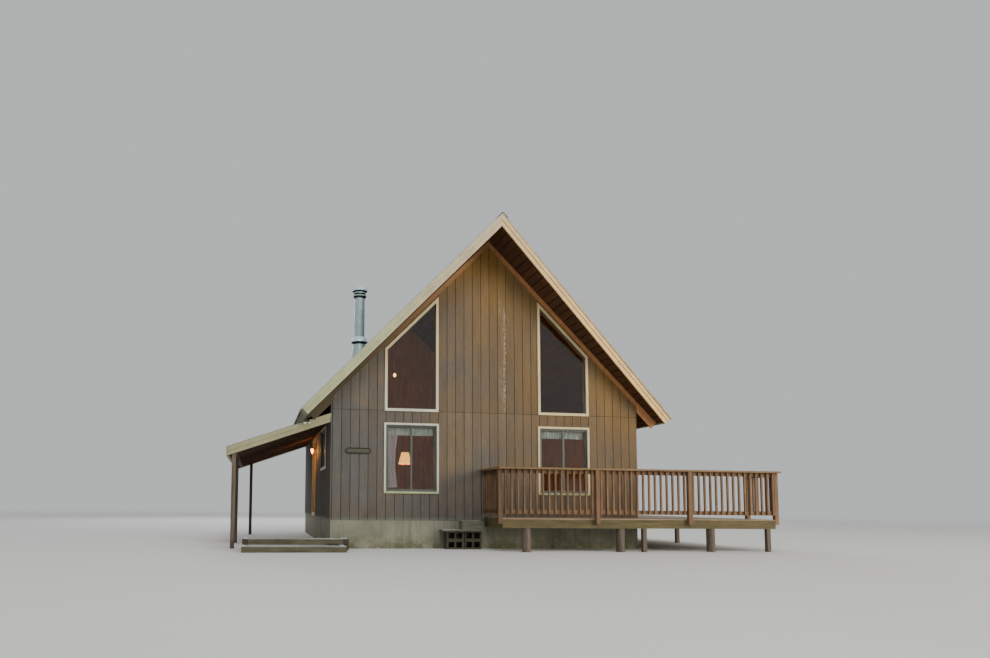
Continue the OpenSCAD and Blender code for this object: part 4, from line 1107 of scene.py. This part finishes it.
def sign():
    """Name board with rounded ends and a raised rim, left blank."""
    lo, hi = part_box("sign_board")
    shape = Shape()
    r = (hi.z - lo.z) / 2
    back, front = lo.y + 0.008, lo.y

    def outline(inset, y):
        turns = [(centre, math.radians(start + k * 22.5))
                 for centre, start in ((hi.x - r, -90), (lo.x + r, 90)) for k in range(9)]
        return [(centre + (r - inset) * math.cos(a), y, lo.z + r + (r - inset) * math.sin(a))
                for centre, a in turns]

    shape.prism(outline(0, hi.y), (0, back - hi.y, 0))
    rings = [outline(0, back), outline(0.002, front), outline(0.020, front), outline(0.022, back)]
    for i, j in edges(range(len(rings[0]))):
        for a, b in zip(rings, rings[1:]):
            shape.face([a[i], a[j], b[j], b[i]], 1)
    shape.piece("blank_sign", ["sign_wood", "sign_rim_wood"], "sign_wood", replaces="sign_board")


def window_shades():
    """Short gathered shades across the heads of the lower front windows."""
    folds, margin = 90, 0.05
    drops = ((0, 0.003), (0.07, 0.006), (0.14, 0.009), (0.165, 0.010))
    for (side, word), hole in zip(SIDES[::-1], gable_holes("front", (False,))):
        first, last, _, top = extent(hole)
        waves = [math.sin(i * 1.13) + 0.5 * math.sin(i * 0.47 + side) for i in range(folds + 1)]
        shape = Shape()
        shape.grid([[(first + margin + (last - first - 2 * margin) * i / folds, FRONT + 0.110 + deep * wave,
                      top - margin - drop) for i, wave in enumerate(waves)] for drop, deep in drops])
        shape.piece("window_shade_" + word, ["window_shade"], "glass", smooth=True)


def curtain():
    """A curtain drawn to the left side of the lower left window, pinched at its middle."""
    columns, rows = 40, 6
    first, _, bottom, top = extent(gable_holes("front", (False,))[0])
    top -= 0.16
    tall = top - bottom - 0.08

    def point(i, j):
        pinch = 1 - 0.25 * math.sin(math.pi * j / rows)
        fold = 0.018 * math.sin(i * 0.95) + 0.006 * math.sin(i * 2.3 + j)
        return first + 0.05 + 0.24 * i / columns * pinch, FRONT + 0.150 + fold, top - tall * j / rows

    shape = Shape()
    shape.grid([[point(i, j) for i in range(columns + 1)] for j in range(rows + 1)])
    shape.piece("window_curtain", ["window_curtain"], "glass", smooth=True)


# Finishes of the CAD nodes that stay as they are

NODE_LOOKS = {
    "foundation_concrete": "foundation",
    "block_concrete_painted_shade": "step_blocks",
    "floor_wood": "floor",
    "fascia_paint_left": "rake_board_front_left rake_board_back_left",
    "fascia_paint_right": "rake_board_front_right rake_board_back_right",
    "fascia_paint_eave": "eave_boards",
    "fascia_paint_porch": "porch_fascia",
    "brown_trim_paint": "gable_trim_front gable_trim_back",
    "window_trim_paint": "front_window_trim back_window_trim side_window_trim",
    "sash_paint": "window_sashes",
    "window_glass": "window_glass",
    "door_wood": "entry_door",
    "door_casing_paint": "door_frame",
    "brass": "door_hinges door_knob",
    "floodlight_metal": "eave_floodlight",
    "porch_soffit_wood": "porch_roof",
    "rafter_wood": "porch_rafters",
    "porch_post_wood": "porch_posts",
    "deck_frame_wood": "deck_frame",
    "post_wood": "deck_supports",
    "rail_stain_z": "railing_posts railing_front railing_left railing_right",
    "rail_stain_x": "rail_cap",
    "plank_wood": "plank_step",
}


def finish_nodes():
    for look, nodes in NODE_LOOKS.items():
        for node in nodes.split():
            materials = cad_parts[node].data.materials
            materials.clear()
            materials.append(LOOKS[look])


# Stage, light and camera

PAPER = (0.93, 0.95, 0.96, 1)
PAPER_LIGHT = 0.62
COOL_WHITE = (0.95, 0.97, 1.0)


def stage():
    """A pale floor that fades into the backdrop, so that no horizon shows."""
    bpy.ops.mesh.primitive_circle_add(vertices=128, radius=400, fill_type="NGON", location=(0, 4, -0.001))
    floor = bpy.context.object
    floor.name = "stage_floor"
    look = Look("stage_floor")
    away = look.node("VectorMath", "Value", {0: look.place}, operation="LENGTH")
    far = look.level(away, 14, 60)
    near = look.mix(look.noise(None, 0.4, 3, 0.5), (0.66, 0.66, 0.64, 1), (0.70, 0.70, 0.68, 1))
    look.colour = look.mix(far, near, (0, 0, 0, 1))
    look.done(1.0, Specular_IOR_Level=0.0, Emission_Color=PAPER,
              Emission_Strength=look.times(far, PAPER_LIGHT))
    floor.data.materials.append(LOOKS["stage_floor"])
    world = bpy.data.worlds.new("studio")
    bpy.context.scene.world = world
    world.use_nodes = True
    background = world.node_tree.nodes["Background"].inputs
    background["Color"].default_value = PAPER
    background["Strength"].default_value = PAPER_LIGHT


def area_light(name, place, target, size, watts, colour):
    data = bpy.data.lights.new(name, "AREA")
    data.shape = "DISK"
    data.size = size
    data.energy = watts
    data.color = colour
    made = new_object(name, data)
    made.location = place
    made.rotation_euler = (Vector(target) - Vector(place)).to_track_quat("-Z", "Y").to_euler()


def lights():
    area_light("key_light", (28.2, -27.8, 9.4), (1, 1, 3), 20.8, 11800, (1.0, 0.90, 0.74))
    area_light("front_light", (-3, -20, 22), (0, 0, 3), 12, 2600, COOL_WHITE)
    area_light("back_light", (-6, 26, 16), (0, 6, 3), 12, 2600, COOL_WHITE)


# The photograph's camera: its place, its turns in degrees, and its focal length and optical centre in pixels
CAMERA_PLACE = (-5.2345, -15.554, 1.029)
YAW, TILT, ROLL = (math.radians(a) for a in (8.360, 4.268, 0.528))
FRAME_W, FRAME_H = 990, 658
FOCAL = 695.3
CENTRE_X, CENTRE_Y = 362.0, 450.4


def camera():
    data = bpy.data.cameras.new("camera")
    data.sensor_width = 36
    data.lens = FOCAL / FRAME_W * data.sensor_width
    data.shift_x = (FRAME_W / 2 - CENTRE_X) / FRAME_W
    data.shift_y = (CENTRE_Y - FRAME_H / 2) / FRAME_W
    data.clip_end = 500
    made = new_object("camera", data)
    turn = Matrix.Rotation(-YAW, 4, "Z") @ Matrix.Rotation(math.pi / 2 + TILT, 4, "X")
    made.matrix_world = Matrix.Translation(CAMERA_PLACE) @ turn @ Matrix.Rotation(ROLL, 4, "Z")
    bpy.context.scene.camera = made


wood_looks()
paint_looks()
other_looks()
walls()
window_frames()
roof_panels()
shingles()
ridge_shingles()
porch_cover()
deck_floor()
porch_steps()
flue()
flashing()
lantern()
sign()
window_shades()
curtain()
inside_lamps()
finish_nodes()
stage()
lights()
camera()
